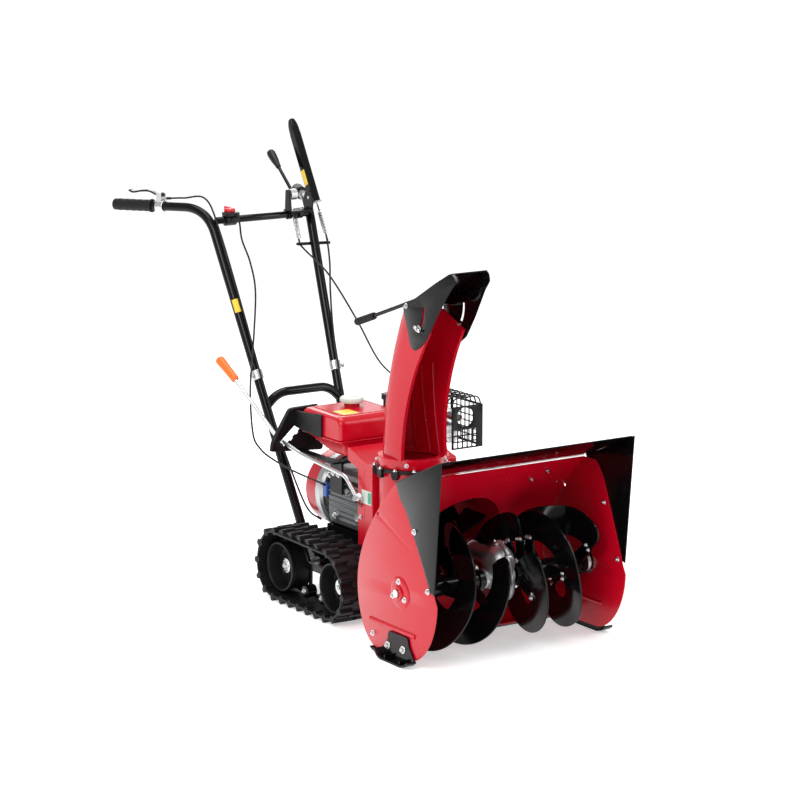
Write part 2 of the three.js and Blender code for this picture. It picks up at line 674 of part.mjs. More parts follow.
// A pair of spoked wheels on one axle.
function wheelSet(name, axleY, spokes) {
  let body = barX(-236, 236, 0, 0, 12, 16);
  for (const [, sign] of SIDES) {
    const tread = barX(...span(sign, 168, 228), 0, 0, 65.5, 20);
    const rim = tread.subtract(barX(...span(sign, 160, 235), 0, 0, 54, 20));
    const hub = barX(...span(sign, 160, 232), 0, 0, 22, 12);
    let wheel = join(rim, hub);
    for (let i = 0; i < spokes; i += 1) {
      const spoke = new THREE.BoxGeometry(10, 42, 16).translate(sign * 205, 39, 0);
      wheel = wheel.add(solid(spoke.rotateX((i / spokes) * Math.PI * 2)));
    }
    body = body.add(wheel);
  }
  add(name, surface(body).translate(0, axleY, TRACK_AXLE_Z), PLASTIC);
}

// ---------- handles ----------
const handlePoint = (sign, point) => vector(sign * point.x, point.y, point.z);

// The room that a handle tube takes, with some clearance, for cutting its neighbours.
function handleBore(sign, clearance) {
  const foot = handlePoint(sign, HANDLE_FOOT);
  const bend = handlePoint(sign, HANDLE_BEND);
  return bar(foot, bend, TUBE_RADIUS + clearance, 16);
}

function handles() {
  for (const [side, sign] of SIDES) {
    const foot = handlePoint(sign, HANDLE_FOOT);
    const bend = handlePoint(sign, HANDLE_BEND);
    const tip = handlePoint(sign, GRIP_TIP);
    const path = bentPath([foot, bend, tip], 75);
    add(`handle_${side}`, tube(path, TUBE_RADIUS, 20, 12), BLACK);

    const along = tip.clone().sub(bend).normalize();
    const sleeveStart = tip.clone().addScaledVector(along, -122);
    const end = tip.clone().addScaledVector(along, 5);
    const sleeve = bar(sleeveStart, end, 16, 16);
    const room = bar(sleeveStart.clone().addScaledVector(along, -5), tip.clone().addScaledVector(along, 1),
      TUBE_RADIUS + GAP, 16);
    add(`grip_${side}`, surface(sleeve.subtract(room)), RUBBER);
  }
  const bores = join(handleBore(-1, GAP), handleBore(1, GAP));
  const crossbar = barX(-156, 156, CROSSBAR.y, CROSSBAR.z, CROSSBAR.radius, 16);
  add('crossbar', surface(crossbar.subtract(bores)), BLACK);

  const hoop = [vector(-118, 899, 452), vector(-78, 899, 490), vector(78, 899, 490), vector(118, 899, 452)];
  const hoopTube = solid(tube(bentPath(hoop, 26), 10.5, 24, 12));
  add('brace_hoop', surface(hoopTube.subtract(bores)), BLACK);
}

// ---------- controls ----------
const CLUTCH_PIVOT = { x: 146, y: 1078, z: 975 };
const SHIFT_PIVOT = { x: 92, y: 1094, z: 985 };

function leverBracket() {
  const cheek = outline([[1058, 940], [1098, 940], [1106, 962], [1094, 992], [1066, 992], [1056, 972]]);
  const plate = outline([[1062, 938], [1114, 938], [1114, 944], [1062, 944]]);
  const tower = outline([[1080, 940], [1108, 940], [1104, 998], [1084, 998]]);
  const crossbarRoom = barX(-200, 200, CROSSBAR.y, CROSSBAR.z, CROSSBAR.radius + GAP, 16);
  const body = join(
    alongX(plate, 70, 132),
    alongX(cheek, 128, 132),
    alongX(tower, 72, 78),
  );
  add('lever_bracket', surface(body.subtract(join(crossbarRoom, handleBore(1, GAP)))), BLACK);
}

function clutchLever() {
  const { x, y, z } = CLUTCH_PIVOT;
  const section = outline([[-11, -12], [11, -12], [11, 12], [7.5, 12], [7.5, -8.5], [-7.5, -8.5], [-7.5, 12],
    [-11, 12]]);
  const channel = alongZ(section, -16, 232);
  const pin = barX(-13.5, 11, 0, 0, 5, 12);
  const web = box(-11, 11, -12, 2, 190, 232);
  const lever = surface(join(channel, pin, web));
  lever.rotateX(-THREE.MathUtils.degToRad(30));
  add('clutch_lever', lever.translate(x, y, z), BLACK);
}

function shiftLever() {
  const { x, y, z } = SHIFT_PIVOT;
  const root = vector(x, y, z);
  const tip = vector(x + 8, y + 124, z + 92);
  const knob = new THREE.SphereGeometry(15, 14, 10).scale(1, 1.25, 1.05).translate(tip.x, tip.y, tip.z);
  const disc = barX(x - 13, x + 6, y, z, 15, 16);
  const lever = join(bar(root, tip, 5, 10), solid(knob), disc);
  add('shift_lever', surface(lever), BLACK);
}

function throttle() {
  const x = -100;
  const clampRoom = barX(-200, 200, CROSSBAR.y, CROSSBAR.z, CROSSBAR.radius + GAP, 16);
  const clamp = join(
    barX(x - 16, x + 16, CROSSBAR.y, CROSSBAR.z, 16, 16),
    box(x - 20, x + 20, 1084, 1120, 938, 950),
  );
  add('throttle_base', surface(clamp.subtract(clampRoom)), PLASTIC);
  const disc = barZ(950 + GAP, 960, x, CROSSBAR.y, 15, 16);
  const wing = box(x - 5, x + 5, CROSSBAR.y, CROSSBAR.y + 34, 952, 972);
  add('throttle_lever', surface(join(disc, wing)), RED);
}

// The small lever over the right grip, on a clamp round the tube.
const HAND_LEVER_FROM_TIP = 150;

function handLever() {
  const bend = handlePoint(-1, HANDLE_BEND);
  const tip = handlePoint(-1, GRIP_TIP);
  const along = tip.clone().sub(bend).normalize();
  const place = new THREE.Group();
  place.position.copy(tip.clone().addScaledVector(along, -HAND_LEVER_FROM_TIP));
  const sideways = vector(along.y, -along.x, 0).normalize();
  const up = sideways.clone().cross(along);
  place.quaternion.setFromRotationMatrix(new THREE.Matrix4().makeBasis(sideways, along, up));
  machine.add(place);

  const ring = barY(-12, 12, 0, 0, 17, 16);
  const ears = join(box(8.5, 11.5, -8, 8, 8, 37), box(-11.5, -8.5, -8, 8, 8, 37));
  const mount = join(ring, ears).subtract(barY(-20, 20, 0, 0, TUBE_RADIUS + GAP, 16));
  add('hand_lever_mount', surface(mount), STEEL, place);

  const line = [[-4, 30], [12, 31], [40, 34], [80, 35], [104, 41]].map((p) => new THREE.Vector2(...p));
  const blade = alongX(sheetOutline(line, 5), -7, 7);
  const barrel = barX(-8.2, 8.2, 0, 30, 6, 16);
  add('hand_lever', surface(join(blade, barrel)), STEEL, place);
}

// The lever with the orange grip. It turns on the belt cover's side, about an axis that leans so that the rod
// follows the slanting slot of its guide plate.
const SELECTOR_PIVOT = vector(-158, 380, 314);
const SELECTOR_AXIS = vector(0.627, 0.288, -0.724).normalize();
const selectorPin = (from, to, radius, sides) => bar(
  SELECTOR_PIVOT.clone().addScaledVector(SELECTOR_AXIS, from),
  SELECTOR_PIVOT.clone().addScaledVector(SELECTOR_AXIS, to),
  radius,
  sides,
);

// The slot's length is measured from the rod's present place. Its lower edge has notches for the rod.
function guideSlot() {
  const start = new THREE.Vector2(-186.4, 405.2);
  const along = new THREE.Vector2(0.7526, 0.6585);
  const across = new THREE.Vector2(-along.y, along.x);
  const halfWidth = 9;
  const corners = [[-10, halfWidth], [-10, -halfWidth]];
  for (const notch of [16, 38, 60]) {
    corners.push([notch, -halfWidth], [notch, -halfWidth - 4]);
    corners.push([notch + 10, -halfWidth - 4], [notch + 10, -halfWidth]);
  }
  corners.push([96, -halfWidth], [96, halfWidth]);
  return outline(corners.map(([u, v]) => start.clone().addScaledVector(along, u).addScaledVector(across, v)));
}

function selector() {
  const rodPath = bentPath([SELECTOR_PIVOT, vector(-161, 432, 362), vector(-175, 620, 384),
    vector(-190, 715, 412), vector(-235, 863, 553)], 26);
  const rod = solid(tube(rodPath, 5.5, 22, 10));
  const grip = bar(vector(-233, 854, 547), vector(-245, 921, 594), 10.5, 14, 12.5);
  const eye = selectorPin(-7, 5, 12, 16);
  const pin = selectorPin(0, 32, 6, 12);
  add('selector_lever', surface(join(rod, grip, eye, pin)), ORANGE);

  const face = outline([[-229, 384], [-225, 410], [-172, 494], [-86, 496], [-68, 480], [-68, 372]]);
  const plate = alongY(face, 690, 694).subtract(alongY(guideSlot(), 680, 700));
  const shelf = box(-144, -116, 520, 692, 372, 377);
  const foot = box(-118, -112.5, 520, 575, 290, 377);
  add('guide_plate', surface(join(plate, shelf, foot)), PLASTIC);
}

// ---------- cables ----------
// A point beside a handle tube at the given height, moved sideways and backwards from its axis.
function besideHandle(sign, z, sideways, back) {
  const share = (z - HANDLE_FOOT.z) / (HANDLE_BEND.z - HANDLE_FOOT.z);
  const x = HANDLE_FOOT.x + share * (HANDLE_BEND.x - HANDLE_FOOT.x);
  const y = HANDLE_FOOT.y + share * (HANDLE_BEND.y - HANDLE_FOOT.y);
  return vector(sign * x + sideways, y + back, z);
}

function cables() {
  const throttleRoute = [
    vector(-92, 1080, 944), vector(-90, 1068, 920),
    besideHandle(-1, 850, 44, -6), besideHandle(-1, 700, 46, 0), besideHandle(-1, 600, 44, -8),
    besideHandle(-1, 520, 28, -20), besideHandle(-1, 465, 6, -27), besideHandle(-1, 440, -13, -22),
    besideHandle(-1, 415, -22, -6), besideHandle(-1, 360, -30, 12),
    vector(-150, 800, 300), vector(-134, 700, 280), vector(-116, 604, 286),
  ];
  add('throttle_cable', cable(throttleRoute, 2.5, 40), PLASTIC);

  const clutchRoute = [
    vector(140, 1060, 934), vector(128, 1040, 900), vector(110, 930, 800), vector(92, 780, 690),
    vector(74, 640, 600), vector(62, 500, 556), vector(52, 440, 500), vector(50, 424, 426),
  ];
  add('clutch_cable', cable(clutchRoute, 2.5, 26), PLASTIC);

  const driveRoute = [vector(100, 1070, 932), besideHandle(1, 890, -30, -8), besideHandle(1, 800, -8, -19),
    besideHandle(1, 600, 0, -20), besideHandle(1, 400, 0, -20), besideHandle(1, 260, -12, -18),
    vector(60, 775, 190), vector(40, 745, 170)];
  add('drive_cable', cable(driveRoute, 2.5, 24), PLASTIC);

  const handRoute = [vector(-215, 1247, 979), vector(-190, 1196, 984), vector(-160, 1130, 986),
    besideHandle(-1, 900, 6, -20), besideHandle(-1, 700, 6, -18), besideHandle(-1, 560, 2, -19),
    besideHandle(-1, 400, 2, -19), besideHandle(-1, 260, 12, -18),
    vector(-60, 775, 190), vector(-40, 745, 170)];
  add('hand_lever_cable', cable(handRoute, 2.5, 24), PLASTIC);
}

// ---------- build ----------
housing();
extension();
skids();
scraper();
axleBearings();
auger();
gearCase();
impellerDrum();
impeller();
chute();
deflector();
beltCover();
engine();
fuelSystem();
airCleaner();
exhaust();
starter();
chassis();
tracks();
wheelSet('drive_axle', DRIVE_AXLE_Y, 6);
wheelSet('idler_axle', IDLER_AXLE_Y, 5);
handles();
leverBracket();
clutchLever();
shiftLever();
throttle();
handLever();
selector();
cables();

export default machine;
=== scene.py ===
"""Two stage snowblower on rubber tracks: the looks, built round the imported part.

Shapes are written in millimetres, with y measured backwards from the auger axle, and are moved into the
frame as they are made. The front faces -Y, and +X is the operator's left when facing +Y.
"""
import json
from math import cos, pi, radians, sin

import bmesh
import bpy
from mathutils import Matrix, Vector


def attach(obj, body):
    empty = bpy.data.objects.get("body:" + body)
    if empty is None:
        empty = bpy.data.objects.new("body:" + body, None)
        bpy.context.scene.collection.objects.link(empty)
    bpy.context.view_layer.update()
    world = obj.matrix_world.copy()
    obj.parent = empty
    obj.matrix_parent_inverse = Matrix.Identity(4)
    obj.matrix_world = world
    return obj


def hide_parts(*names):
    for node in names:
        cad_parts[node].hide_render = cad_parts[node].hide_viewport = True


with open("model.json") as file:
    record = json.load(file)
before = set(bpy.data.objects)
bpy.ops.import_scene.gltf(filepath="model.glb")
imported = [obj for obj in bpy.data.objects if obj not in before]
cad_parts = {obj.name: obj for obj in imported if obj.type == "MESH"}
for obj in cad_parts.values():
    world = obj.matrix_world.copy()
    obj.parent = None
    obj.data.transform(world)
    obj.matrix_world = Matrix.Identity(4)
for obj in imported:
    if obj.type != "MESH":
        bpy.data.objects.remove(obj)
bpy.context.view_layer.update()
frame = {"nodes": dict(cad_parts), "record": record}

BOX_MIDDLE_Y = 615
TO_FRAME = Matrix.Scale(0.001, 4) @ Matrix.Translation((0, -BOX_MIDDLE_Y, 0))

HALF_WIDTH = 280
SHEET = 3
GAP = 0.3
AUGER_Z = 173
AUGER_RADIUS = 152
FLIGHT_INNER_RADIUS = 78
AUGER_RIGHT_SHIFT = 22
IMPELLER_Z = 220
DRUM_RADIUS = 130
CHUTE_X = -68
CHUTE_Y = 270
COLLAR_Z = 413
COLLAR_RADIUS = 86
CRANK_Z = 265
FILLER_X = -42
FILLER_Y = 590
TRACK_Z = 88
DRIVE_Y = 650
IDLER_Y = 390
HINGE_Y = 205
HINGE_Z = 826
SLOT_RADIUS = 75.5
SIDES = (("right", -1), ("left", 1))
BACK = (0, 1, 0)
UP = (0, 0, 1)
IMPELLER = (0, 0, IMPELLER_Z)
CRANK = (0, 0, CRANK_Z)
CHUTE = (CHUTE_X, CHUTE_Y, 0)


# ---------- materials ----------
BROAD_SCALE = 9
GLOSS_SPREAD = 0.08
BUMP_DEPTH = 0.0006
EDGE_RADIUS = 0.0012


def node(tree, kind, inputs, **settings):
    """Adds a node. Each input is given a value, or the output that is linked to it."""
    made = tree.nodes.new(f"ShaderNode{kind}")
    for name, value in settings.items():
        setattr(made, name, value)
    fill(tree, made, inputs)
    return made


def fill(tree, made, inputs):
    for name, value in inputs.items():
        if isinstance(value, bpy.types.NodeSocket):
            tree.links.new(value, made.inputs[name])
        else:
            made.inputs[name].default_value = value


def finish(name, colour, rough, metal=0.0, grain=900, bump=0.1, shade=0.1, shine=0.5, edge_highlight=0.0,
           stretch=(1, 1, 1), highlight_colour=(0.5, 0.5, 0.5)):
    """A surface whose colour, gloss and height vary at a broad and a fine scale, with a painted highlight
    along its edges.
    """
    material = bpy.data.materials.new(name)
    material.use_nodes = True
    tree = material.node_tree
    place = node(tree, "TexCoord", {}).outputs["Object"]
    scaled = node(tree, "Mapping", {"Vector": place, "Scale": stretch}).outputs["Vector"]
    broad = node(tree, "TexNoise", {"Vector": scaled, "Scale": BROAD_SCALE, "Detail": 4}).outputs["Fac"]
    fine = node(tree, "TexNoise", {"Vector": scaled, "Scale": grain, "Detail": 3}).outputs["Fac"]
    dark = (*[c * (1 - shade) for c in colour], 1)
    light = (*[min(1, c * (1 + shade)) for c in colour], 1)
    base = node(tree, "Mix", {"Factor": broad, "A": dark, "B": light}, data_type="RGBA").outputs["Result"]
    # A lighter colour along the edges paints a highlight on them.
    if edge_highlight:
        base = paint_edge_highlight(tree, base, fine, edge_highlight, highlight_colour)
    smooth, dull = max(0.03, rough - GLOSS_SPREAD), rough + GLOSS_SPREAD
    gloss = node(tree, "MapRange", {"Value": broad, "From Min": 0.3, "From Max": 0.7, "To Min": smooth,
                                    "To Max": dull})
    height = node(tree, "Bump", {"Height": fine, "Strength": bump, "Distance": BUMP_DEPTH})
    fill(tree, tree.nodes["Principled BSDF"], {
        "Base Color": base, "Metallic": metal, "Roughness": gloss.outputs["Result"],
        "Specular IOR Level": shine, "Normal": height.outputs["Normal"]})
    return material


def paint_edge_highlight(tree, base, fine, edge_highlight, highlight_colour):
    """Paints a highlight along edges: mixes a lighter colour in where the rounded normal leaves the flat one,
    broken up by fine noise.
    """
    soft = node(tree, "Bevel", {"Radius": EDGE_RADIUS}, samples=4).outputs["Normal"]
    flat = node(tree, "NewGeometry", {}).outputs["Normal"]
    facing = node(tree, "VectorMath", {0: soft, 1: flat}, operation="DOT_PRODUCT").outputs["Value"]
    edge = node(tree, "MapRange", {"Value": facing, "From Min": 0.99, "From Max": 0.8, "To Max": edge_highlight})
    patchy = node(tree, "Math", {0: edge.outputs["Result"], 1: fine}, operation="MULTIPLY").outputs["Value"]
    mixed = node(tree, "Mix", {"Factor": patchy, "A": base, "B": (*highlight_colour, 1)}, data_type="RGBA")
    return mixed.outputs["Result"]


# Each look: its material, and the record's slot that it belongs to.
# A look's edge colour is a painted highlight along its edges.
LOOKS = {
    "red": (finish("red_gloss", (0.52, 0.0012, 0.014), 0.22, grain=260, bump=0.02, shade=0.06, edge_highlight=0.3,
                   highlight_colour=(0.8, 0.08, 0.09)), "red_paint"),
    "black": (finish("black_gloss", (0.0025, 0.0025, 0.003), 0.13, grain=420, bump=0.04, shade=0.2,
                     shine=0.22, edge_highlight=0.4, highlight_colour=(0.07, 0.07, 0.08)), "black_paint"),
    "plastic": (finish("moulded_black", (0.006, 0.006, 0.007), 0.42, grain=1600, bump=0.25, shade=0.15,
                       shine=0.3, edge_highlight=0.3, highlight_colour=(0.1, 0.1, 0.11)), "black_plastic"),
    "steel": (finish("zinc_plate", (0.66, 0.67, 0.68), 0.24, metal=1, grain=500, bump=0.08, shade=0.12,
                     stretch=(1, 1, 6)), "bright_steel"),
    "cast": (finish("cast_alloy", (0.52, 0.53, 0.54), 0.36, metal=0.9, grain=700, bump=0.5, shade=0.16,
                    edge_highlight=0.4, highlight_colour=(0.85, 0.86, 0.87)), "cast_aluminium"),
    # A darker copy of the cast alloy, used on the crankcase.
    "alloy": (finish("dark_cast_alloy", (0.2, 0.205, 0.21), 0.45, metal=0.8, grain=500, bump=0.5, shade=0.25,
                     edge_highlight=0.5, highlight_colour=(0.6, 0.61, 0.62)), "cast_aluminium"),
    "rubber": (finish("grip_rubber", (0.006, 0.006, 0.007), 0.6, grain=1400, bump=0.35, shade=0.2,
                      shine=0.3), "rubber"),
    "track": (finish("track_rubber_look", (0.005, 0.005, 0.006), 0.5, grain=500, bump=0.5, shade=0.35,
                     shine=0.3, edge_highlight=0.5, highlight_colour=(0.075, 0.075, 0.08)), "track_rubber"),
    "white": (finish("white_moulded", (0.62, 0.7, 0.64), 0.35, grain=900, bump=0.1, shade=0.06),
              "white_plastic"),
    "green": (finish("green_print", (0.05, 0.36, 0.22), 0.4, grain=900, bump=0.05), "white_plastic"),
    "yellow": (finish("yellow_label", (0.8, 0.55, 0.03), 0.38, grain=900, bump=0.05, shade=0.08),
               "white_plastic"),
    "blue": (finish("blue_coil", (0.02, 0.08, 0.35), 0.3, grain=600, bump=0.1), "black_plastic"),
    "knob": (finish("red_moulded", (0.58, 0.01, 0.02), 0.35, grain=1200, bump=0.1), "red_plastic"),
    "orange": (finish("orange_sleeve", (0.9, 0.15, 0.01), 0.4, grain=1200, bump=0.15, shade=0.06),
               "orange_plastic"),
}
SLOT_LOOKS = {
    "red_paint": "red", "black_paint": "black", "black_plastic": "plastic", "bright_steel": "steel",
    "cast_aluminium": "cast", "rubber": "rubber", "track_rubber": "track", "white_plastic": "white",
    "red_plastic": "knob", "orange_plastic": "orange",
}


# ---------- shape helpers ----------
def bezier(a, b, c, d, count):
    """Points along a cubic curve, from a towards d, leaving out the last one."""
    a, b, c, d = (Vector(p) for p in (a, b, c, d))
    shares = [i / count for i in range(count)]
    return [a * (1 - t) ** 3 + b * 3 * t * (1 - t) ** 2 + c * 3 * t * t * (1 - t) + d * t ** 3
            for t in shares]


def arc(middle, radius, start, end, count):
    """Points on an arc, with both ends, from start to end in degrees."""
    angles = [radians(start + (end - start) * i / count) for i in range(count + 1)]
    return [(middle[0] + radius * cos(a), middle[1] + radius * sin(a)) for a in angles]


def turns(count):
    """The angles of evenly spaced places round a circle."""
    return [2 * pi * i / count for i in range(count)]


def turned(place, angle, axis):
    """A move to a place after a turn about an axis."""
    return Matrix.Translation(place) @ Matrix.Rotation(angle, 4, axis)


def linked(name, data):
    """A new object in the scene."""
    item = bpy.data.objects.new(name, data)
    bpy.context.scene.collection.objects.link(item)
    return item


def smooth_line(corners, per_span=8):
    """A flowing line through every given point."""
    points = [Vector(p) for p in corners]
    ends = [points[0] * 2 - points[1], *points, points[-1] * 2 - points[-2]]
    line = []
    for a, b, c, d in zip(ends, ends[1:], ends[2:], ends[3:]):
        for i in range(per_span):
            t = i / per_span
            line.append(0.5 * (2 * b + (c - a) * t + (2 * a - 5 * b + 4 * c - d) * t * t
                               + (3 * b - a - 3 * c + d) * t ** 3))
    return [*line, points[-1]]


def bent(corners, reach, steps=8):
    """Straight runs with a rounded bend at each inner corner."""
    points = [Vector(p) for p in corners]
    line = [points[0]]
    for before, corner, after in zip(points, points[1:], points[2:]):
        start = corner + (before - corner).normalized() * reach
        end = corner + (after - corner).normalized() * reach
        for i in range(steps + 1):
            t = i / steps
            line.append(start * (1 - t) ** 2 + corner * 2 * t * (1 - t) + end * t * t)
    return [*line, points[-1]]


def rounded(corners, radius, steps=4):
    """A closed outline with its corners rounded."""
    points = [Vector(p) for p in corners]
    outline = []
    for i, corner in enumerate(points):
        before, after = points[i - 1], points[(i + 1) % len(points)]
        reach = min(radius, (before - corner).length * 0.45, (after - corner).length * 0.45)
        outline += bent((before, corner, after), reach, steps)[1:-1]
    return outline


def rectangle(a0, a1, b0, b1):
    return [(a0, b0), (a1, b0), (a1, b1), (a0, b1)]


def strip(line, thickness):
    """The outline of a sheet that follows a line, with its thickness centred on it."""
    points = [Vector(p) for p in line]
    front, back = [], []
    for i, point in enumerate(points):
        ahead = points[min(i + 1, len(points) - 1)] - points[max(i - 1, 0)]
        normal = Vector((-ahead.y, ahead.x)).normalized() * thickness / 2
        front.append(point + normal)
        back.append(point - normal)
    return front + back[::-1]


PLACE = {
    "x": lambda a, b, along: (along, a, b),
    "y": lambda a, b, along: (a, along, b),
    "z": lambda a, b, along: (a, b, along),
}
PLACE_MATRIX = {
    "x": Matrix(((0, 0, 1, 0), (1, 0, 0, 0), (0, 1, 0, 0), (0, 0, 0, 1))),
    "y": Matrix(((1, 0, 0, 0), (0, 0, 1, 0), (0, 1, 0, 0), (0, 0, 0, 1))),
    "z": Matrix.Identity(4),
}


class Shape:
    """Closed solids gathered in one mesh, in millimetres."""

    def __init__(self):
        self.mesh = bmesh.new()

    def skin(self, rings, looped=False):
        """Joins rings of equal counts of points. The ends are closed unless the rings make a loop."""
        rows = [[self.mesh.verts.new(p) for p in ring] for ring in rings]
        following = rows[1:] + (rows[:1] if looped else [])
        for near, far in zip(rows, following):
            for i in range(len(near)):
                self.mesh.faces.new((near[i - 1], near[i], far[i], far[i - 1]))
        if not looped:
            self.mesh.faces.new(rows[0][::-1])
            self.mesh.faces.new(rows[-1])
        made = [vert for row in rows for vert in row]
        bmesh.ops.remove_doubles(self.mesh, verts=made, dist=0.0005)
        return self

    def prism(self, outline, axis, start, end):
        place = PLACE[axis]
        return self.skin([[place(p[0], p[1], along) for p in outline] for along in (start, end)])

    def box(self, x0, x1, y0, y1, z0, z1):
        return self.prism(rectangle(*sorted((x0, x1)), y0, y1), "z", z0, z1)

    def lathe(self, profile, origin, axis, sides=48, hollow=False):
        """Turns (radius, height) points about an axis. A hollow profile is a closed loop."""
        turn = Vector((0, 0, 1)).rotation_difference(Vector(axis)).to_matrix()
        rings = []
        for radius, height in profile:
            ring = [turn @ Vector((radius * cos(a), radius * sin(a), height)) for a in turns(sides)]
            rings.append([Vector(origin) + p for p in ring])
        return self.skin(rings, looped=hollow)

    def rod(self, start, end, radius, end_radius=None, edge=1.0, sides=32):
        start, end = Vector(start), Vector(end)
        length = (end - start).length
        last = radius if end_radius is None else end_radius
        profile = [(radius - edge, 0), (radius - edge * 0.3, edge * 0.3), (radius, edge)]
        profile += [(last, length - edge), (last - edge * 0.3, length - edge * 0.3), (last - edge, length)]
        return self.lathe(profile, start, (end - start).normalized(), sides)

    def ball(self, middle, radius, axis=(0, 0, 1), stretch=1.0, sides=32):
        profile = [(radius * sin(a), -radius * stretch * cos(a)) for a in (pi * i / 16 for i in range(17))]
        return self.lathe(profile, middle, axis, sides)

    def tube(self, line, radius, sides=20, flatten=1.0):
        """Sweeps a round or flattened section along a line."""
        points = [Vector(p) for p in line]
        normal = None
        rings = []
        for i, point in enumerate(points):
            ahead = (points[min(i + 1, len(points) - 1)] - points[max(i - 1, 0)]).normalized()
            if normal is None:
                normal = Vector((0, 0, 1)) if abs(ahead.z) < 0.9 else Vector((0, 1, 0))
            normal = (normal - ahead * normal.dot(ahead)).normalized()
            side = ahead.cross(normal)
            rings.append([point + (normal * cos(a) * flatten + side * sin(a)) * radius
                          for a in turns(sides)])
        return self.skin(rings)

    def plate(self, outline, axis, start, end, holes=(), edge=0.7):
        """A flat sheet with holes and rounded edges."""
        start, end = sorted((start, end))
        curve = bpy.data.curves.new("outline", "CURVE")
        curve.dimensions = "2D"
        curve.fill_mode = "BOTH"
        curve.extrude = (end - start) / 2 - edge
        curve.bevel_depth = edge
        curve.bevel_resolution = 1
        curve.offset = -edge
        for loop in (outline, *holes):
            area = sum(a[0] * b[1] - b[0] * a[1] for a, b in zip(loop, [*loop[1:], loop[0]]))
            points = list(loop) if (area > 0) == (loop is outline) else list(loop)[::-1]
            spline = curve.splines.new("POLY")
            spline.points.add(len(points) - 1)
            for point, corner in zip(spline.points, points):
                point.co = (corner[0], corner[1], 0, 1)
            spline.use_cyclic_u = True
        holder = bpy.data.objects.new("outline", curve)
        sheet = bpy.data.meshes.new_from_object(holder)
        sheet.transform(PLACE_MATRIX[axis] @ Matrix.Translation((0, 0, (start + end) / 2)))
        return self.take(sheet, holder)

    def take(self, mesh, holder=None):
        """Adds a finished mesh to the shape and clears away what made it."""
        before = set(self.mesh.verts)
        self.mesh.from_mesh(mesh)
        added = [v for v in self.mesh.verts if v not in before]
        bmesh.ops.remove_doubles(self.mesh, verts=added, dist=0.002)
        bpy.data.meshes.remove(mesh)
        if holder:
            bpy.data.objects.remove(holder)
        return self

    def moved(self, matrix):
        self.mesh.transform(matrix)
        return self

    def joined(self, other):
        mesh = bpy.data.meshes.new("joined")
        other.mesh.to_mesh(mesh)
        return self.take(mesh)


def with_modifiers(shape, prepare):
    """The shape after the modifiers that prepare adds to a passing object."""
    bmesh.ops.recalc_face_normals(shape.mesh, faces=shape.mesh.faces)
    mesh = bpy.data.meshes.new("working")
    shape.mesh.to_mesh(mesh)
    holder = linked("working", mesh)
    prepare(holder)
    bpy.context.view_layer.update()
    result = bpy.data.meshes.new_from_object(holder.evaluated_get(bpy.context.evaluated_depsgraph_get()))
    bpy.data.objects.remove(holder)
    bpy.data.meshes.remove(mesh)
    made = Shape()
    made.mesh.from_mesh(result)
    bpy.data.meshes.remove(result)
    return made


def cut(shape, cutter):
    """Takes the cutter's solids out of the shape."""
    bmesh.ops.recalc_face_normals(cutter.mesh, faces=cutter.mesh.faces)
    mesh = bpy.data.meshes.new("cutter")
    cutter.mesh.to_mesh(mesh)
    tool = linked("cutter", mesh)

    def prepare(holder):
        modifier = holder.modifiers.new("cut", "BOOLEAN")
        modifier.object = tool
        modifier.solver = "EXACT"
        modifier.use_self = True

    made = with_modifiers(shape, prepare)
    bpy.data.objects.remove(tool)
    bpy.data.meshes.remove(mesh)
    return made


def cast(shape, voxel, passes=3):
    """Melts overlapping solids into one casting with small fillets."""
    def prepare(holder):
        remesh = holder.modifiers.new("melt", "REMESH")
        remesh.mode = "VOXEL"
        remesh.voxel_size = voxel
        soften = holder.modifiers.new("soften", "SMOOTH")
        soften.iterations = passes
        soften.factor = 0.6

    return with_modifiers(shape, prepare)


def piece(name, shape, look, replaced=(), body="frame", bevel=0.0, sharp=32):
    """Turns a shape into an object of the scene that rides on a body."""
    mesh = bpy.data.meshes.new(name)
    bmesh.ops.recalc_face_normals(shape.mesh, faces=shape.mesh.faces)
    for face in shape.mesh.faces:
        face.smooth = True
    if not bevel:
        for edge in shape.mesh.edges:
            edge.smooth = edge.calc_face_angle(0) < radians(sharp)
    shape.mesh.to_mesh(mesh)
    shape.mesh.free()
    mesh.transform(TO_FRAME)
    material, slot = LOOKS[look]
    mesh.materials.clear()
    mesh.materials.append(material)
    mesh.polygons.foreach_set("material_index", [0] * len(mesh.polygons))
    item = linked(name, mesh)
    if bevel:
        round_edges = item.modifiers.new("round_edges", "BEVEL")
        round_edges.width = bevel / 1000
        round_edges.segments = 2
        round_edges.limit_method = "ANGLE"
        round_edges.angle_limit = radians(sharp)
        round_edges.use_clamp_overlap = True
        item.modifiers.new("even_shading", "WEIGHTED_NORMAL")
    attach(item, body)
    if replaced:
        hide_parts(*replaced)
    return item


FASTENERS = {}


def bolt(at, axis, size, washer=True, body="frame"):
    """A hexagon head on its washer. All the fasteners of a body are gathered into one piece."""
    shape = FASTENERS.setdefault(body, Shape())
    lift = 0.0
    if washer:
        lift = 1.4
        shape.lathe([(size * 0.4, 0), (size * 1.5, 0), (size * 1.55, 0.5), (size * 1.45, lift)], at, axis, 28)
    top = lift + size * 0.75
    shape.lathe([(size, lift), (size, top - size * 0.12), (size * 0.86, top)], at, axis, 6)
    shape.lathe([(size * 0.5, lift), (size * 0.5, top + size * 0.25), (size * 0.38, top + size * 0.35)], at,
                axis, 16)


def place_fasteners():
    for body, shape in FASTENERS.items():
        piece(f"fasteners_{body}", shape, "steel", body=body, sharp=28)


# ---------- auger housing ----------
REAR_CURVE = ((20, 437), (96, 368), (190, 265), (190, 160))
WRAPPER_INSET = 3.5


def wrapper_line(shift=0.0):
    """The rear and top sheet seen from the side, a little inside the end plates' edge."""
    foot = (108, 13)
    line = bezier(*REAR_CURVE, 34) + bezier((190, 160), (190, 90), (155, 14), foot, 18)
    return [(p.x - WRAPPER_INSET + shift, p.y) for p in [*line, Vector(foot)]]


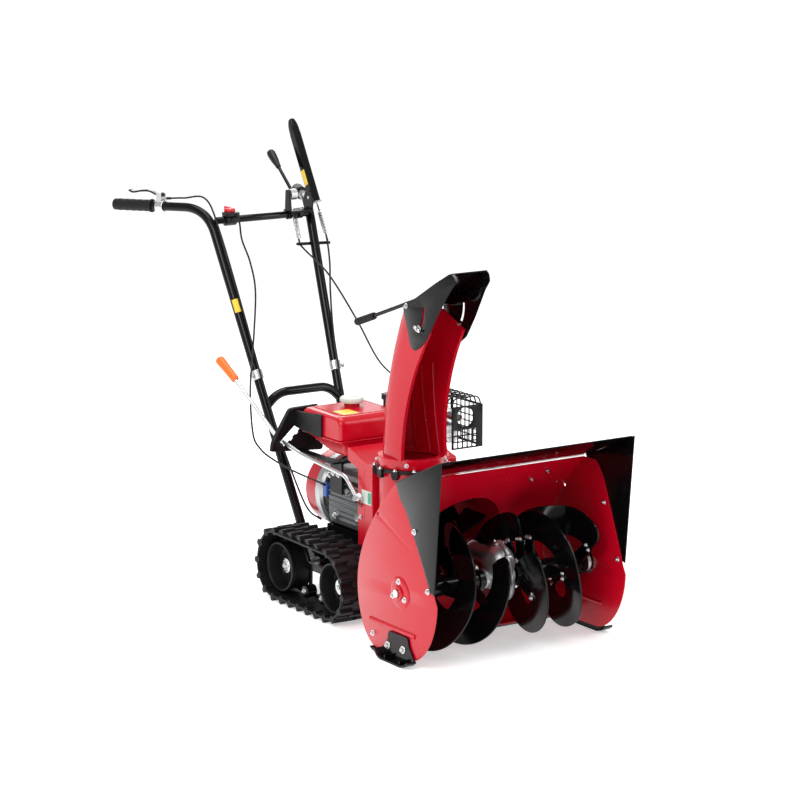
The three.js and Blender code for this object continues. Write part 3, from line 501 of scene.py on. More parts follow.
def side_plate_outline():
    """From the top corner down the rear, forward along the ground and up the front."""
    outline = bezier(*REAR_CURVE, 34) + bezier((190, 160), (190, 90), (155, 12), (99, 12), 16)
    outline += [Vector((99, 12)), Vector((-42, 14))]
    outline += bezier((-42, 14), (-105, 20), (-156, 95), (-157, 172), 20)[1:]
    outline += bent(((-157, 172), (-146, 192), (-128, 240), (-62, 400), (-34, 437), (20, 437)), 14)[:-1]
    return outline


def housing():
    """The curved sheet with the impeller's throat cut through it, between its two end plates."""
    wall = HALF_WIDTH - SHEET - GAP
    shell = Shape().prism(strip(wrapper_line(), SHEET), "x", -wall, wall)
    throat = Shape().lathe([(DRUM_RADIUS, 60), (DRUM_RADIUS, 260)], IMPELLER, BACK, 72)
    piece("housing_wrapper", cut(shell, throat), "red", ("housing_shell",), sharp=20)

    for side, sign in SIDES:
        outer = sign * HALF_WIDTH
        hole = arc((0, AUGER_Z), 16, 0, 345, 23)
        spare_hole = arc((97, 349), 4, 0, 330, 11)
        plate = Shape().plate(side_plate_outline(), "x", outer, outer - sign * SHEET,
                              holes=[hole, spare_hole])
        # A long pressed bead below the axle stiffens the plate.
        bead_front, bead_length, bead_z = -66, 199, 79
        bead = [(outer - sign * 0.6, bead_front + bead_length * i / 12, bead_z) for i in range(13)]
        plate.tube(bead, 4.5, flatten=1.5)
        piece(f"side_plate_{side}_sheet", plate, "red", (f"side_plate_{side}",), sharp=24)
        bolt((outer, 120, 45), (sign, 0, 0), 5)
    inwards = (0, -0.67, -0.74)
    for x, y, z in ((246, 91, 366), (185, 43, 406), (153, 67, 384)):
        bolt((x, y, z), inwards, 4.2)


def extension():
    """The black wings and top lip that carry the housing forwards and upwards."""
    lower_edge = smooth_line(((-150, 199), (-132, 208), (-107, 253), (-68, 318), (-34, 374), (-3, 407)), 6)
    outline = [*lower_edge, (14, 441), (-180, 525)]
    for side, sign in SIDES:
        inner = sign * (HALF_WIDTH + GAP)
        wing = Shape().plate(outline, "x", inner, inner + sign * SHEET)
        piece(f"wing_{side}_sheet", wing, "black", (f"wing_{side}",), sharp=24)
        for y, z in ((-67, 337), (-125, 204)):
            bolt((inner + sign * SHEET, y, z), (sign, 0, 0), 5)
            bolt((sign * (HALF_WIDTH - SHEET), y, z), (-sign, 0, 0), 4.5)
    line = bent(((17, 440.3), (-40, 466), (-172, 522)), 16, 6)
    lip = Shape().prism(rounded(strip(line, SHEET), 1.2, 2), "x", -HALF_WIDTH, HALF_WIDTH)
    piece("top_lip_sheet", lip, "black", ("top_lip",), sharp=20)


def skids():
    sole = [(79, 20), (66, 6), (52, 0), (-38, 0), (-60, 6), (-73, 16),
            (-69, 21), (-58, 11), (-37, 5), (50, 5), (62, 10), (74, 24)]
    upright = [(44, 70), (46, 50), (64, 30), (76, 20), (66, 8), (52, 2), (-38, 2), (-60, 8), (-71, 17),
               (-47, 48), (-40, 71)]
    for side, sign in SIDES:
        inner = sign * (HALF_WIDTH + GAP)
        shoe = Shape().prism(rounded(sole, 5, 3), "x", inner, inner + sign * 26)
        shoe.prism(rounded(upright, 7), "x", inner, inner + sign * 5)
        for web_y in (-30, 35):
            shoe.box(inner + sign * 4, inner + sign * 22, web_y - 2, web_y + 2, 4, 14)
        piece(f"skid_{side}_shoe", shoe, "black", (f"skid_{side}",), bevel=1.2)
        for y, z in ((46, 33), (-21, 37)):
            bolt((inner + sign * 5, y, z), (sign, 0, 0), 6.5)


def scraper():
    reach = HALF_WIDTH + 4
    blade = Shape().prism([(112, 4), (118, 4), (132, 10.5), (104, 10.5)], "x", -reach, reach)
    piece("scraper_blade", blade, "black", ("scraper_bar",), bevel=0.8)
    for x in (-200, -70, 70, 200):
        bolt((x, 118, 10), (0, 0.2, 1), 4)


def axle_bearings():
    bolt_radius = 28
    cup = ((11, 0), (40, 0), (40, 0.6), (37, 2.6), (25, 3.4), (19, 3.6), (18, 8), (16, 9), (11, 9))
    inner_cup = ((13.5, 0), (31, 0), (31, 2), (24, 4), (22, 12), (13.5, 12))
    for side, sign in SIDES:
        face = sign * (HALF_WIDTH + GAP)
        flange = Shape().lathe(cup, (face, 0, AUGER_Z), (sign, 0, 0), 64, hollow=True)
        piece(f"axle_bearing_{side}_cup", flange, "red", (f"axle_bearing_{side}",), sharp=30)
        for a in map(radians, (90, 205, 335)):
            at = (face + sign * 3.2, bolt_radius * cos(a), AUGER_Z + bolt_radius * sin(a))
            bolt(at, (sign, 0, 0), 5)
        inner_face = sign * (HALF_WIDTH - SHEET)
        inside = Shape().lathe(inner_cup, (inner_face, 0, AUGER_Z), (-sign, 0, 0), 48, hollow=True)
        piece(f"inner_bearing_{side}", inside, "steel")


# ---------- auger ----------
# The strips of one auger half, as (turn, distance from the middle). Turn 0 faces forwards and a quarter of a
# turn faces down. The arms stand at shares of each strip's length.
FLIGHTS = (
    (((-0.11, 28), (0, 45), (0.25, 92), (0.45, 122)), (0.45, 0.95)),
    (((0.6, 128), (0.69, 152), (0.76, 208), (0.83, 226), (0.9, 235)), (0.05, 0.95)),
    (((0.52, 34), (0.62, 44), (0.735, 82)), (0.74, 0.95)),
    (((0.7, 104), (0.83, 124), (1, 144), (1.13, 174), (1.25, 192), (1.42, 222)), (0.04, 0.4, 0.96)),
)


def flight(sign, line):
    """Rings of a strip wound round the axle, with rounded ends and a rounded rim."""
    first, last = line[0].x, line[-1].x
    depth = AUGER_RADIUS - FLIGHT_INNER_RADIUS
    half, round_turn, end_depth = 2.5, 0.045, 0.4
    rings = []
    for turn, x in line:
        near_end = min(1, min(turn - first, last - turn) / round_turn)
        share = end_depth + (1 - end_depth) * (1 - (1 - near_end) ** 2) ** 0.5
        outer = FLIGHT_INNER_RADIUS + depth * share
        section = ((FLIGHT_INNER_RADIUS, half), (outer - 1.6, half), (outer, 1.2), (outer, -1.2),
                   (outer - 1.6, -half), (FLIGHT_INNER_RADIUS, -half))
        angle = turn * 2 * pi
        rings.append([(sign * (x + offset), -radius * cos(angle), AUGER_Z - radius * sin(angle))
                      for radius, offset in section])
    return rings


def auger():
    tube_start, pin_x, far_bolt_x = 48, 60, 250
    tube = ((12.8, 0), (28, 0), (29, 1), (29, 14), (24, 16), (24, 198), (29, 200), (29, 213), (28, 214),
            (12.8, 214))
    arm_outline = rounded([(-20, -17), (-90, -14), (-90, 14), (-20, 17)], 6)
    for side, sign in SIDES:
        ribbons = Shape()
        core = Shape().lathe(tube, (sign * tube_start, 0, AUGER_Z), (sign, 0, 0), 40, hollow=True)
        shift = AUGER_RIGHT_SHIFT if sign < 0 else 0
        for stations, arms in FLIGHTS:
            line = smooth_line([(turn, x + shift) for turn, x in stations], 14)
            ribbons.skin(flight(sign, line))
            for share in arms:
                turn, x = line[round(share * (len(line) - 1))]
                place = turned((sign * x, 0, AUGER_Z), turn * 2 * pi, "X")
                core.joined(Shape().prism(arm_outline, "x", -3, 3).moved(place))
                for across in (-7, 7):
                    bolt(place @ Vector((-sign * 3.5, -83, across)), (-sign, 0, 0), 4.2, body="auger")
        core.rod((sign * pin_x, 0, AUGER_Z - 33), (sign * pin_x, 0, AUGER_Z + 33), 4.5)
        piece(f"auger_{side}_flights", ribbons, "black", (f"auger_{side}",), "auger", sharp=35)
        piece(f"auger_{side}_tube", core, "black", body="auger", sharp=35)
        for end in (-1, 1):
            for x, size in ((pin_x, 6), (far_bolt_x, 5)):
                bolt((sign * x, 0, AUGER_Z + end * 29), (0, 0, end), size, body="auger")


def gear_case():
    """Two cast halves melted into one casting, with a bolted flange along the middle."""
    case = Shape()
    case.ball((0, -10, AUGER_Z + 37), 47, (1, 0, 0), 0.8)
    belly_y, belly_z = -6, AUGER_Z - 13
    case.rod((-24, belly_y, belly_z), (24, belly_y, belly_z), 50, edge=9)
    case.rod((0, 20, IMPELLER_Z - 2), (0, 119, IMPELLER_Z), 24, 19)
    case.rod((-43.5, 0, AUGER_Z), (43.5, 0, AUGER_Z), 25, edge=3)
    case.rod((0, 100, IMPELLER_Z), (0, 119, IMPELLER_Z), 24)
    flange = [(-12, 266), (9, 258), (27, 241), (40, 222), (44, 205), (40, 186), (35, 158), (31, 130),
              (22, 108), (0, 97), (-28, 104), (-48, 128), (-58, 165), (-63, 205), (-57, 238), (-38, 258)]
    case.prism(rounded(flange, 10), "x", -5.5, 5.5)
    ears = [(-12, 259), (34, 222), (36, 182), (26, 124), (-26, 110), (-53, 160), (-52, 232)]
    for y, z in ears:
        case.rod((-7.5, y, z), (7.5, y, z), 8)
    for x in (-30, 30):
        case.prism(rectangle(x - 2.5, x + 2.5, -38, 38), "z", AUGER_Z - 3, AUGER_Z + 3)
    piece("gear_casting", cast(case, 1.5, 4), "cast", ("gear_case_right", "gear_case_left"), sharp=60)
    for y, z in ears:
        for _, sign in SIDES:
            bolt((sign * 8, y, z), (sign, 0, 0), 4.2)
    bolt((0, 6, 257), (0, 0.4, 1), 5)


# ---------- impeller ----------
def impeller():
    front, disc_front, disc_back, rear = 196, 291, 297, 300
    fan = Shape().rod((0, front, IMPELLER_Z), (0, rear, IMPELLER_Z), 22)
    fan.rod((0, disc_front, IMPELLER_Z), (0, disc_back, IMPELLER_Z), 96, edge=1.5, sides=64)
    paddle = strip(smooth_line(((16, 0), (60, 1), (100, 4), (121, 12)), 5), 4)
    gusset = [(18, 0), (80, 2), (70, 26), (18, 12)]
    for angle in turns(4):
        blade = Shape().prism(paddle, "y", front + 4, disc_front).prism(gusset, "y", 276, 280)
        fan.joined(blade.moved(turned(IMPELLER, angle - 0.35, "Y")))
    piece("impeller_paddles", fan, "black", ("impeller_fan",), "impeller", bevel=0.8)
    for a in map(radians, (45, 135, 225, 315)):
        bolt((14 * cos(a), front, IMPELLER_Z + 14 * sin(a)), (0, -1, 0), 3, washer=False, body="impeller")

    spout_radius, drum_back, spout_foot = COLLAR_RADIUS - 4, 330, 240
    drum = Shape().lathe([(133, 90), (133, 331.5), (131.5, 333), (1, 333), (1, drum_back),
                          (DRUM_RADIUS, drum_back), (DRUM_RADIUS, 90)],
                         IMPELLER, BACK, 96, hollow=True)
    spout = Shape().lathe([(spout_radius, spout_foot), (spout_radius, 425), (spout_radius - SHEET, 425),
                           (spout_radius - SHEET, spout_foot)],
                          CHUTE, UP, 72, hollow=True)
    inside = Shape().rod((0, 60, IMPELLER_Z), (0, drum_back, IMPELLER_Z), DRUM_RADIUS, sides=96)
    opening = Shape().rod((CHUTE_X, CHUTE_Y, spout_foot), (CHUTE_X, CHUTE_Y, 440), spout_radius - SHEET,
                          sides=72)
    ahead = wrapper_line(1.2) + [(-40, 13), (-40, 437)]
    housing_room = Shape().prism(ahead, "x", -HALF_WIDTH, HALF_WIDTH)
    piece("impeller_drum_sheet", cut(cut(drum, opening), housing_room), "red", ("impeller_drum",), sharp=24)
    piece("discharge_spout", cut(spout, inside), "red", sharp=24)


# ---------- chute ----------
CHANNEL_RADIUS = 70
CHANNEL_WALL = 2.6
CHANNEL_BASE = COLLAR_Z + 22


def channel_point(x, y, z):
    """Moves a point of the channel's section to its place on the leaning chute."""
    lean_start, lean_height, narrowing = 456, 304, 15
    share = max(0.0, (z - lean_start) / lean_height)
    back, front = 56 * share ** 2, 95 * share ** 2.1
    narrow = (CHANNEL_RADIUS - narrowing * share) / CHANNEL_RADIUS
    ahead = min(1.0, -y / 57) if y < 0 else 0.0
    return (x * narrow + CHUTE_X, CHUTE_Y + 5 + y - (back + (front - back) * ahead), z)


def channel_top(y):
    """The height of the chute's sloping top edge above a point."""
    edge = ((0, 736), (104, 766), (205, 808), (300, 814))
    for (y0, z0), (y1, z1) in zip(edge, edge[1:]):
        if y <= y1:
            return z0 + (z1 - z0) * (y - y0) / (y1 - y0)
    return edge[-1][1]


def channel_section():
    """The U, with inturned front flanges and small bends, as a ring of points round its wall."""
    reach, flange, inner_radius = -60, 59, CHANNEL_RADIUS - CHANNEL_WALL
    inside = reach + CHANNEL_WALL
    outer_bend = [(flange, reach), (CHANNEL_RADIUS - 2, reach), (CHANNEL_RADIUS, reach + 3)]
    inner_bend = [(flange, inside), (inner_radius - 2, inside), (inner_radius, inside + 2)]
    sides = []
    for bend, radius in ((outer_bend, CHANNEL_RADIUS), (inner_bend, inner_radius)):
        sides.append([*bend, *arc((0, 0), radius, 0, 180, 36), *[(-x, y) for x, y in bend[::-1]]])
    return sides[0] + sides[1][::-1]


def channel():
    """The U-shaped sheet. Each of its upright lines ends where it meets the sloping top edge."""
    levels = 40
    section = channel_section()
    heights = []
    for x, y in section:
        top = 800.0
        for _ in range(30):
            top = channel_top(channel_point(x, y, top)[1])
        heights.append(top)
    rings = []
    for i in range(levels + 1):
        rings.append([channel_point(x, y, CHANNEL_BASE + (top - CHANNEL_BASE) * i / levels)
                      for (x, y), top in zip(section, heights)])
    piece("chute_channel", Shape().skin(rings), "red", ("chute",), "chute", sharp=40)


def channel_ribs():
    """Three thin ribs that climb the inside of the far wall and lean towards its back.

    Each is given by how far round the wall its foot and head stand, measured from where the straight side
    meets the curve, and by the height of its head.
    """
    ribs = Shape()
    wall, steps = 66.8, 24
    for foot, head, top in ((51, 64, 590), (12, 47, 655), (-30, 12, 665)):
        line = []
        for share in [i / steps for i in range(steps + 1)]:
            reach = foot + (head - foot) * share
            angle = max(0.0, reach) / wall
            z = CHANNEL_BASE + (top - CHANNEL_BASE) * share
            line.append(channel_point(wall * cos(angle), wall * sin(angle) + min(0.0, reach), z))
        ribs.tube(line, 4.2, 12)
    piece("chute_ribs", ribs, "red", body="chute", sharp=50)


def collar_and_seat():
    """The chute's collar on its bearing ring."""
    inner = COLLAR_RADIUS - 2.9
    profile = [(inner, 0), (COLLAR_RADIUS - 0.6, 0), (COLLAR_RADIUS, 0.8), (COLLAR_RADIUS, 25.2),
               (COLLAR_RADIUS - 0.8, 26), (68.5, 26), (68.5, 15), (inner, 15)]
    collar = Shape().lathe(profile, (CHUTE_X, CHUTE_Y, COLLAR_Z), UP, 96, hollow=True)
    piece("chute_collar", collar, "red", body="chute", sharp=40)
    for a in map(radians, (35, 147, 228, 313)):
        at = (CHUTE_X + COLLAR_RADIUS * cos(a), CHUTE_Y + COLLAR_RADIUS * sin(a), COLLAR_Z + 13)
        bolt(at, (cos(a), sin(a), 0), 4, body="chute")

    seat = Shape().lathe([(82.3, 404), (90, 404), (91, 405), (91, 411.7), (90, 412.7), (82.3, 412.7)],
                         CHUTE, UP, 96, hollow=True)
    # Clamp blocks under the collar keep the chute down.
    for a in map(radians, (150, 180, 210, 240, 330, 30, 90)):
        place = turned(CHUTE, a, "Z")
        seat.joined(Shape().box(89, 97, -9, 9, 396, 412).box(86, 97, -6, 6, 390, 398).moved(place))
        bolt(place @ Vector((93, 0, 412)), UP, 4)
    piece("chute_seat_ring", seat, "plastic", ("chute_seat",), sharp=35)


def wing_nuts():
    """The studs of the chute that run in the hood's slots, with their wing nuts."""
    stud = radians(219.5)
    y, z = HINGE_Y + SLOT_RADIUS * cos(stud), HINGE_Z + SLOT_RADIUS * sin(stud)
    nut = ((4, 0), (9.5, 0), (9.5, 1.4), (6.5, 2.2), (6, 7), (4, 8))
    for side, sign in SIDES:
        clamp = Shape().rod((CHUTE_X + sign * 50, y, z), (CHUTE_X + sign * 72, y, z), 3.4)
        clamp.lathe(nut, (CHUTE_X + sign * 61, y, z), (sign, 0, 0), 28)
        for tilt in (-1, 1):
            clamp.ball((CHUTE_X + sign * 67, y + tilt * 7, z + tilt * 3), 4.5, (0, 1, 0.4), 1.5, 20)
        piece(f"deflector_wing_nut_{side}", clamp, "steel", body="chute")


def hood():
    inner, thickness, half_slot = 57.5, 2.6, 4.5
    cheek = [(217, 812), (218, 822), (147, 861), (25, 929), (12, 922), (6, 905), (30, 880), (117, 752),
             (150, 729), (166, 721), (182, 724), (190, 738)]
    hinge = (HINGE_Y, HINGE_Z)
    slot = arc(hinge, SLOT_RADIUS + half_slot, 174, 224, 18)
    slot += arc(hinge, SLOT_RADIUS - half_slot, 224, 174, 18)
    sheet = Shape()
    for _, sign in SIDES:
        x = CHUTE_X + sign * inner
        sheet.plate(rounded(cheek, 6), "x", x, x + sign * thickness, holes=[slot])
        bolt((CHUTE_X + sign * 60, *hinge), (sign, 0, 0), 4.5, body="deflector")
    crown = bent(((217.5, 820), (147, 859), (22, 928)), 30, 8)
    sheet.prism(strip(crown, thickness), "x", CHUTE_X - inner - 1.2, CHUTE_X + inner + 1.2)
    # It narrows towards its front edge.
    narrow_y, narrow_share = 80, 0.12 / 60
    everything = [*sheet.mesh.verts, *sheet.mesh.edges, *sheet.mesh.faces]
    bmesh.ops.bisect_plane(sheet.mesh, geom=everything, plane_co=(0, narrow_y, 0), plane_no=BACK)
    for vert in sheet.mesh.verts:
        ahead = max(0.0, narrow_y - vert.co.y)
        vert.co.x = CHUTE_X + (vert.co.x - CHUTE_X) * (1 - narrow_share * ahead)
    piece("deflector_hood", sheet, "black", ("deflector",), "deflector", sharp=26)


def deflector_rod():
    rod = Shape().tube(bent(((-70, 196, 846), (-70, 212, 842), (-70, 440, 762)), 6, 4), 5, 20)
    rod.box(-84, -56, 186, 208, 834, 838)
    piece("deflector_rod", rod, "black", ("deflector_lever",), "deflector", sharp=30)
    start, end, ridges = Vector((-70, 436, 763.4)), Vector((-70, 521, 734.4)), 24
    length = (end - start).length
    profile = [(5.2, 0), (8, 0.5), (9, 3)]
    profile += [(9.2 + 0.5 * cos(i * pi), 3 + (length - 8) * i / ridges) for i in range(1, ridges)]
    profile += [(9.8, length - 4), (8.4, length - 0.8), (4, length)]
    grip = Shape().lathe(profile, start, (end - start).normalized(), 28)
    piece("deflector_grip", grip, "rubber", body="deflector", sharp=50)


# ---------- power unit ----------
def belt_cover():
    right, left = -142, 112
    side = [(337, 120.3), (337, 398), (362, 403), (452, 432), (452, 398), (404, 384), (404, 120.3)]
    body = Shape().prism(rounded(side, 6), "x", right, left)
    spout = Shape().rod((CHUTE_X, CHUTE_Y, 110), (CHUTE_X, CHUTE_Y, 450), COLLAR_RADIUS - 3.6, sides=72)
    room = Shape().box(right + 4, left - 4, 341, 400, 100, 380)
    piece("belt_guard", cut(cut(body, room), spout), "red", ("belt_cover",), bevel=2.2, sharp=40)
    seam = Shape().box(right - 0.6, left + 0.6, 372, 375, 121, 386)
    piece("belt_guard_seam", seam, "red", bevel=0.4)
    for z in (150, 262):
        bolt((right - 0.4, 390, z), (-1, 0, 0), 4)
        bolt((left + 0.4, 390, z), (1, 0, 0), 4)
    label = Shape().box(right - 1, right - 0.2, 341, 385, 300, 335)
    piece("guard_label", label, "white", bevel=0.3)
    patch = Shape().box(right - 1.3, right - 0.9, 342, 356, 303, 332)
    piece("guard_label_patch", patch, "green", bevel=0.1)


def crankcase():
    outline = [(-104, 198.5), (-108, 250), (-104, 300), (-70, 350), (40, 350), (94, 330), (94, 198.5)]
    block = Shape().prism(rounded(outline, 16), "y", 405, 600)
    # Cooling ribs on the right side, and bosses for the cover's screws.
    for i in range(9):
        z = 216 + i * 14
        reach = 112 - 0.0016 * (z - 262) ** 2
        block.prism(rounded(rectangle(-reach, -80, z, z + 4), 1.5), "y", 424, 596)
    for y, z, radius in ((452, 236, 17), (560, 228, 12), (430, 320, 11), (585, 330, 11), (508, 300, 9)):
        block.rod((-113, y, z), (-96, y, z), radius)
    block.box(-96, 92, 594, 608, 200, 330)
    block.box(60, 160, 470, 577, 250, 380)
    block.rod((0, 400, CRANK_Z), (0, 412, CRANK_Z), 44)
    piece("crankcase", cast(block, 2.4, 3), "alloy", ("engine_block",), sharp=60)
    fins = Shape()
    for i in range(9):
        y = 470 + i * 12.4
        fins.prism(rounded(rectangle(62, 176, 236, 392), 10), "y", y, y + 4.6)
    piece("cylinder_fins", fins, "cast", bevel=0.6)
    for y, z in ((430, 320), (585, 330), (452, 236), (560, 228)):
        bolt((-113, y, z), (-1, 0, 0), 5.5)


def flywheel():
    """The fan housing's ring, the dark flywheel with its vanes, the ignition coil and its lead."""
    vanes = 18
    ring = Shape().lathe([(60, 640), (100, 640), (106, 648), (106, 668), (104, 673), (102.4, 673),
                          (102.4, 655.8), (96, 655.8), (94, 646), (60, 646)],
                         CRANK, BACK, 96, hollow=True)
    piece("fan_housing_ring", ring, "cast", sharp=30)
    dark = Shape().lathe([(10, 604), (84, 604), (92, 612), (96, 630), (97, 641), (10, 641)], CRANK,
                         BACK, 64)
    for angle in turns(vanes):
        dark.joined(Shape().box(88, 99, 614, 640, -3, 3).moved(turned(CRANK, angle, "Y")))
    piece("flywheel_back", dark, "plastic", sharp=30)
    coil = Shape().box(-113, -98, 602, 622, 266, 304)
    piece("ignition_coil", coil, "blue", bevel=3)
    lead = Shape().tube(smooth_line(((-104, 612, 304), (-92, 600, 346), (-40, 560, 372), (60, 540, 404),
                                     (150, 528, 396))), 3.2, 14)
    piece("ignition_lead", lead, "plastic")


def crank():
    front = (0, 385, CRANK_Z)
    sheave = Shape().rod(front, (0, 436, CRANK_Z), 11)
    grooved = ((8, 0), (36, 0), (36, 3), (28, 8), (28, 10), (36, 15), (36, 18), (8, 18))
    sheave.lathe(grooved, front, BACK, 64)
    piece("crank_sheave", sheave, "steel", ("crank_pulley",), "crankshaft")


def starter():
    slot_count, bolt_radius, grip_z = 28, 100, CRANK_Z + 62
    cover = Shape().lathe([(98, 0), (102, 0), (102, 57), (100.5, 67), (96, 75), (88, 79), (60, 80), (1, 80),
                           (1, 76), (60, 76), (85, 75), (92, 72), (97, 65), (98, 56)],
                          (0, 656 + GAP, CRANK_Z), BACK, 96, hollow=True)
    slots = Shape()
    for angle in turns(slot_count):
        slit = Shape().prism(rounded([(52, -2.6), (84, -3.6), (84, 3.6), (52, 2.6)], 2.4), "y", 700, 760)
        slots.joined(slit.moved(turned(CRANK, angle, "Y")))
    piece("starter_cover", cut(cover, slots), "red", ("recoil_cover",), sharp=28)
    hub = Shape().lathe([(1, 735.2), (34, 735.2), (36, 737), (30, 738.6), (1, 739)], CRANK, BACK)
    piece("starter_hub_plate", hub, "red")
    for a in map(radians, (45, 135, 225, 315)):
        at = (bolt_radius * cos(a), 664, CRANK_Z + bolt_radius * sin(a))
        bolt(at, (cos(a), 0, sin(a)), 4.5)

    grip = Shape().tube([(x, 748 - 0.004 * x * x, grip_z) for x in range(-24, 25, 3)], 7.6, 24)
    grip.rod((0, 740.5, grip_z), (0, 748, grip_z), 4)
    piece("starter_handle", grip, "plastic", ("starter_grip",), "starter_grip", bevel=1.5, sharp=50)


def fuel_tank():
    upper = rounded([(474, 436), (664, 436), (664, 486), (650, 501), (488, 501), (474, 488)], 12, 5)
    middle_y, middle_z, half_depth, half_height = 569, 468, 95, 32
    rings = []
    for x, inset in ((-150, 9), (-147.5, 3.5), (-142, 0.6), (-134, 0),
                     (24, 0), (32, 0.6), (37.5, 3.5), (40, 9)):
        rings.append([(x, middle_y + (p.x - middle_y) * (1 - inset / half_depth),
                       middle_z + (p.y - middle_z) * (1 - inset / half_height)) for p in upper])
    tank = Shape().skin(rings)
    tub = []
    for z, x0, x1, y0, y1 in ((398, -124, 16, 484, 548), (404, -127, 23, 481, 584), (424, -132, 34, 478, 644),
                              (438, -147, 39, 475, 662)):
        tub.append([(*p, z) for p in rounded(rectangle(x0, x1, y0, y1), 16, 5)])
    tank.skin(tub)
    tank.prism(rounded(rectangle(-151, 41, 473, 665), 14), "z", 436, 439)
    tank.prism(rounded(rectangle(-128, 18, 496, 642), 12), "z", 499, 502.5)
    tank.rod((FILLER_X, FILLER_Y, 494), (FILLER_X, FILLER_Y, 512), 20)
    piece("tank_shell", tank, "red", ("fuel_tank",), bevel=1.2, sharp=40)
    label = Shape().prism(rounded(rectangle(-122, -74, 502, 556), 3), "z", 502.4, 502.9)
    piece("tank_label", label, "yellow")


def fuel_cap():
    profile = [(2, 513), (29, 513), (30, 514.6), (30, 523.4), (28, 526.4), (20, 527), (18, 525.2), (2, 525.2)]
    cap = Shape().lathe(profile, (FILLER_X, FILLER_Y, 0), UP, 64)
    for a in turns(24):
        x, y = FILLER_X + 29.2 * cos(a), FILLER_Y + 29.2 * sin(a)
        cap.rod((x, y, 515), (x, y, 524), 1.6, edge=0.5, sides=8)
    ridge = rectangle(FILLER_X - 22, FILLER_X + 22, FILLER_Y - 4, FILLER_Y + 4)
    cap.prism(rounded(ridge, 3), "z", 524, 527)
    piece("tank_cap", cap, "white", ("fuel_cap",), "fuel_cap", sharp=40)


def air_cleaner():
    body = Shape().prism(rounded(rectangle(48, 128, 470, 590), 14), "z", 400, 512)
    body.joined(Shape().prism(rounded(rectangle(44, 132, 466, 594), 16), "z", 511, 526))
    for y in range(482, 582, 22):
        body.box(56, 120, y, y + 8, 525, 526.6)
    piece("air_filter_box", body, "plastic", ("air_cleaner",), bevel=2.5, sharp=40)
    nut = Shape().rod((88, 530, 526), (88, 530, 533), 6)
    piece("air_filter_nut", nut, "steel")


OUTLET_Z = 483


def muffler():
    outline = [(144, 412), (166, 412), (174, 421), (174, 489), (166, 498), (144, 498), (136.5, 489),
               (136.5, 421)]
    can = Shape().prism(rounded(outline, 8), "y", 420, 520)
    can.box(135.5, 176, 466, 470, 410, 500)
    can.lathe([(8, 390), (11, 390), (11, 424), (8, 424)], (156, 0, OUTLET_Z), BACK, 32, hollow=True)
    piece("muffler_can", can, "steel", ("muffler",), bevel=1.5)


def grid(a0, a1, b0, b1, columns, rows):
    """The openings of a wire grid, row by row."""
    bar = 3.2
    holes = []
    wide, tall = (a1 - a0 - bar) / columns, (b1 - b0 - bar) / rows
    for i in range(columns):
        for k in range(rows):
            a, b = a0 + bar + i * wide, b0 + bar + k * tall
            holes.append(rounded(rectangle(a, a + wide - bar, b, b + tall - bar), 1.5, 2))
    return holes


def muffler_guard():
    """A cage open towards the engine: a ring over the outlet, a wire grid and hoops on top."""
    ring_x, ring_radius, bead_radius = 176, 26, 27
    right, left, front, rear, low, high, sheet = 134, 230, 390, 530, 400, 512, 2.6
    opening = arc((ring_x, OUTLET_Z), ring_radius, 0, 350, 35)
    face = rectangle(right, left, low, high)
    cage = Shape().plate(face, "y", front, front + sheet, [opening, *grid(137, 213, 401, 453, 5, 3)], 0.5)
    cage.plate(face, "y", rear - sheet, rear, grid(137, 227, 403, 509, 5, 6), 0.5)
    cage.plate(rectangle(front, rear, low, high), "x", left - sheet, left,
               grid(393, 527, 403, 509, 7, 6), 0.5)
    for y in range(396, 530, 22):
        hoop = bent(((136, y, 508), (144, y, 533), (220, y, 533), (228, y, 508)), 14, 6)
        cage.tube(hoop, 2, 12)
    cage.box(180, 184, 390, 530, 531, 533.5)
    section = [(bead_radius + 2 * cos(a), front + 1.6 + 1.4 * sin(a)) for a in turns(8)]
    bead = [[(ring_x + out * cos(a), y, OUTLET_Z + out * sin(a)) for out, y in section] for a in turns(48)]
    cage.skin(bead, looped=True)
    piece("muffler_cage", cage, "black", ("muffler_guard",), sharp=30)


# ---------- chassis and tracks ----------
BELT_RADIUS = 78
BELT_INSIDE = 72
LUGS = 24
LUG_PITCH = 2 * (DRIVE_Y - IDLER_Y + pi * BELT_RADIUS) / LUGS


def track_outline(reach, count=40):
    """A stadium round both wheel axles."""
    front = arc((IDLER_Y, TRACK_Z), reach, 90, 270, count)
    rear = arc((DRIVE_Y, TRACK_Z), reach, -90, 90, count)
    return front + rear


def track_station(pitches, reach):
    """A point at a number of lug pitches along the stadium, starting under the front axle."""
    length = DRIVE_Y - IDLER_Y
    around = pi * BELT_RADIUS
    rest = pitches * LUG_PITCH % (2 * (length + around))
    if rest < length:
        return Vector((IDLER_Y + rest, TRACK_Z - reach))
    rest -= length
    if rest < around:
        angle = rest / BELT_RADIUS - pi / 2
        return Vector((DRIVE_Y + reach * cos(angle), TRACK_Z + reach * sin(angle)))
    rest -= around
    if rest < length:
        return Vector((DRIVE_Y - rest, TRACK_Z + reach))
    angle = (rest - length) / BELT_RADIUS + pi / 2
    return Vector((IDLER_Y + reach * cos(angle), TRACK_Z + reach * sin(angle)))


def arched(shape):
    """Lifts the top run of a belt: its middle stands higher than the tops of the wheels."""
    middle, half_span, rise, blend = 540, 240, 26, 60
    for vert in shape.mesh.verts:
        across = (vert.co.y - middle) / half_span
        lift = rise * max(0.0, 1 - across * across)
        vert.co.z += lift * min(1.0, max(0.0, (vert.co.z - TRACK_Z) / blend))
    return shape


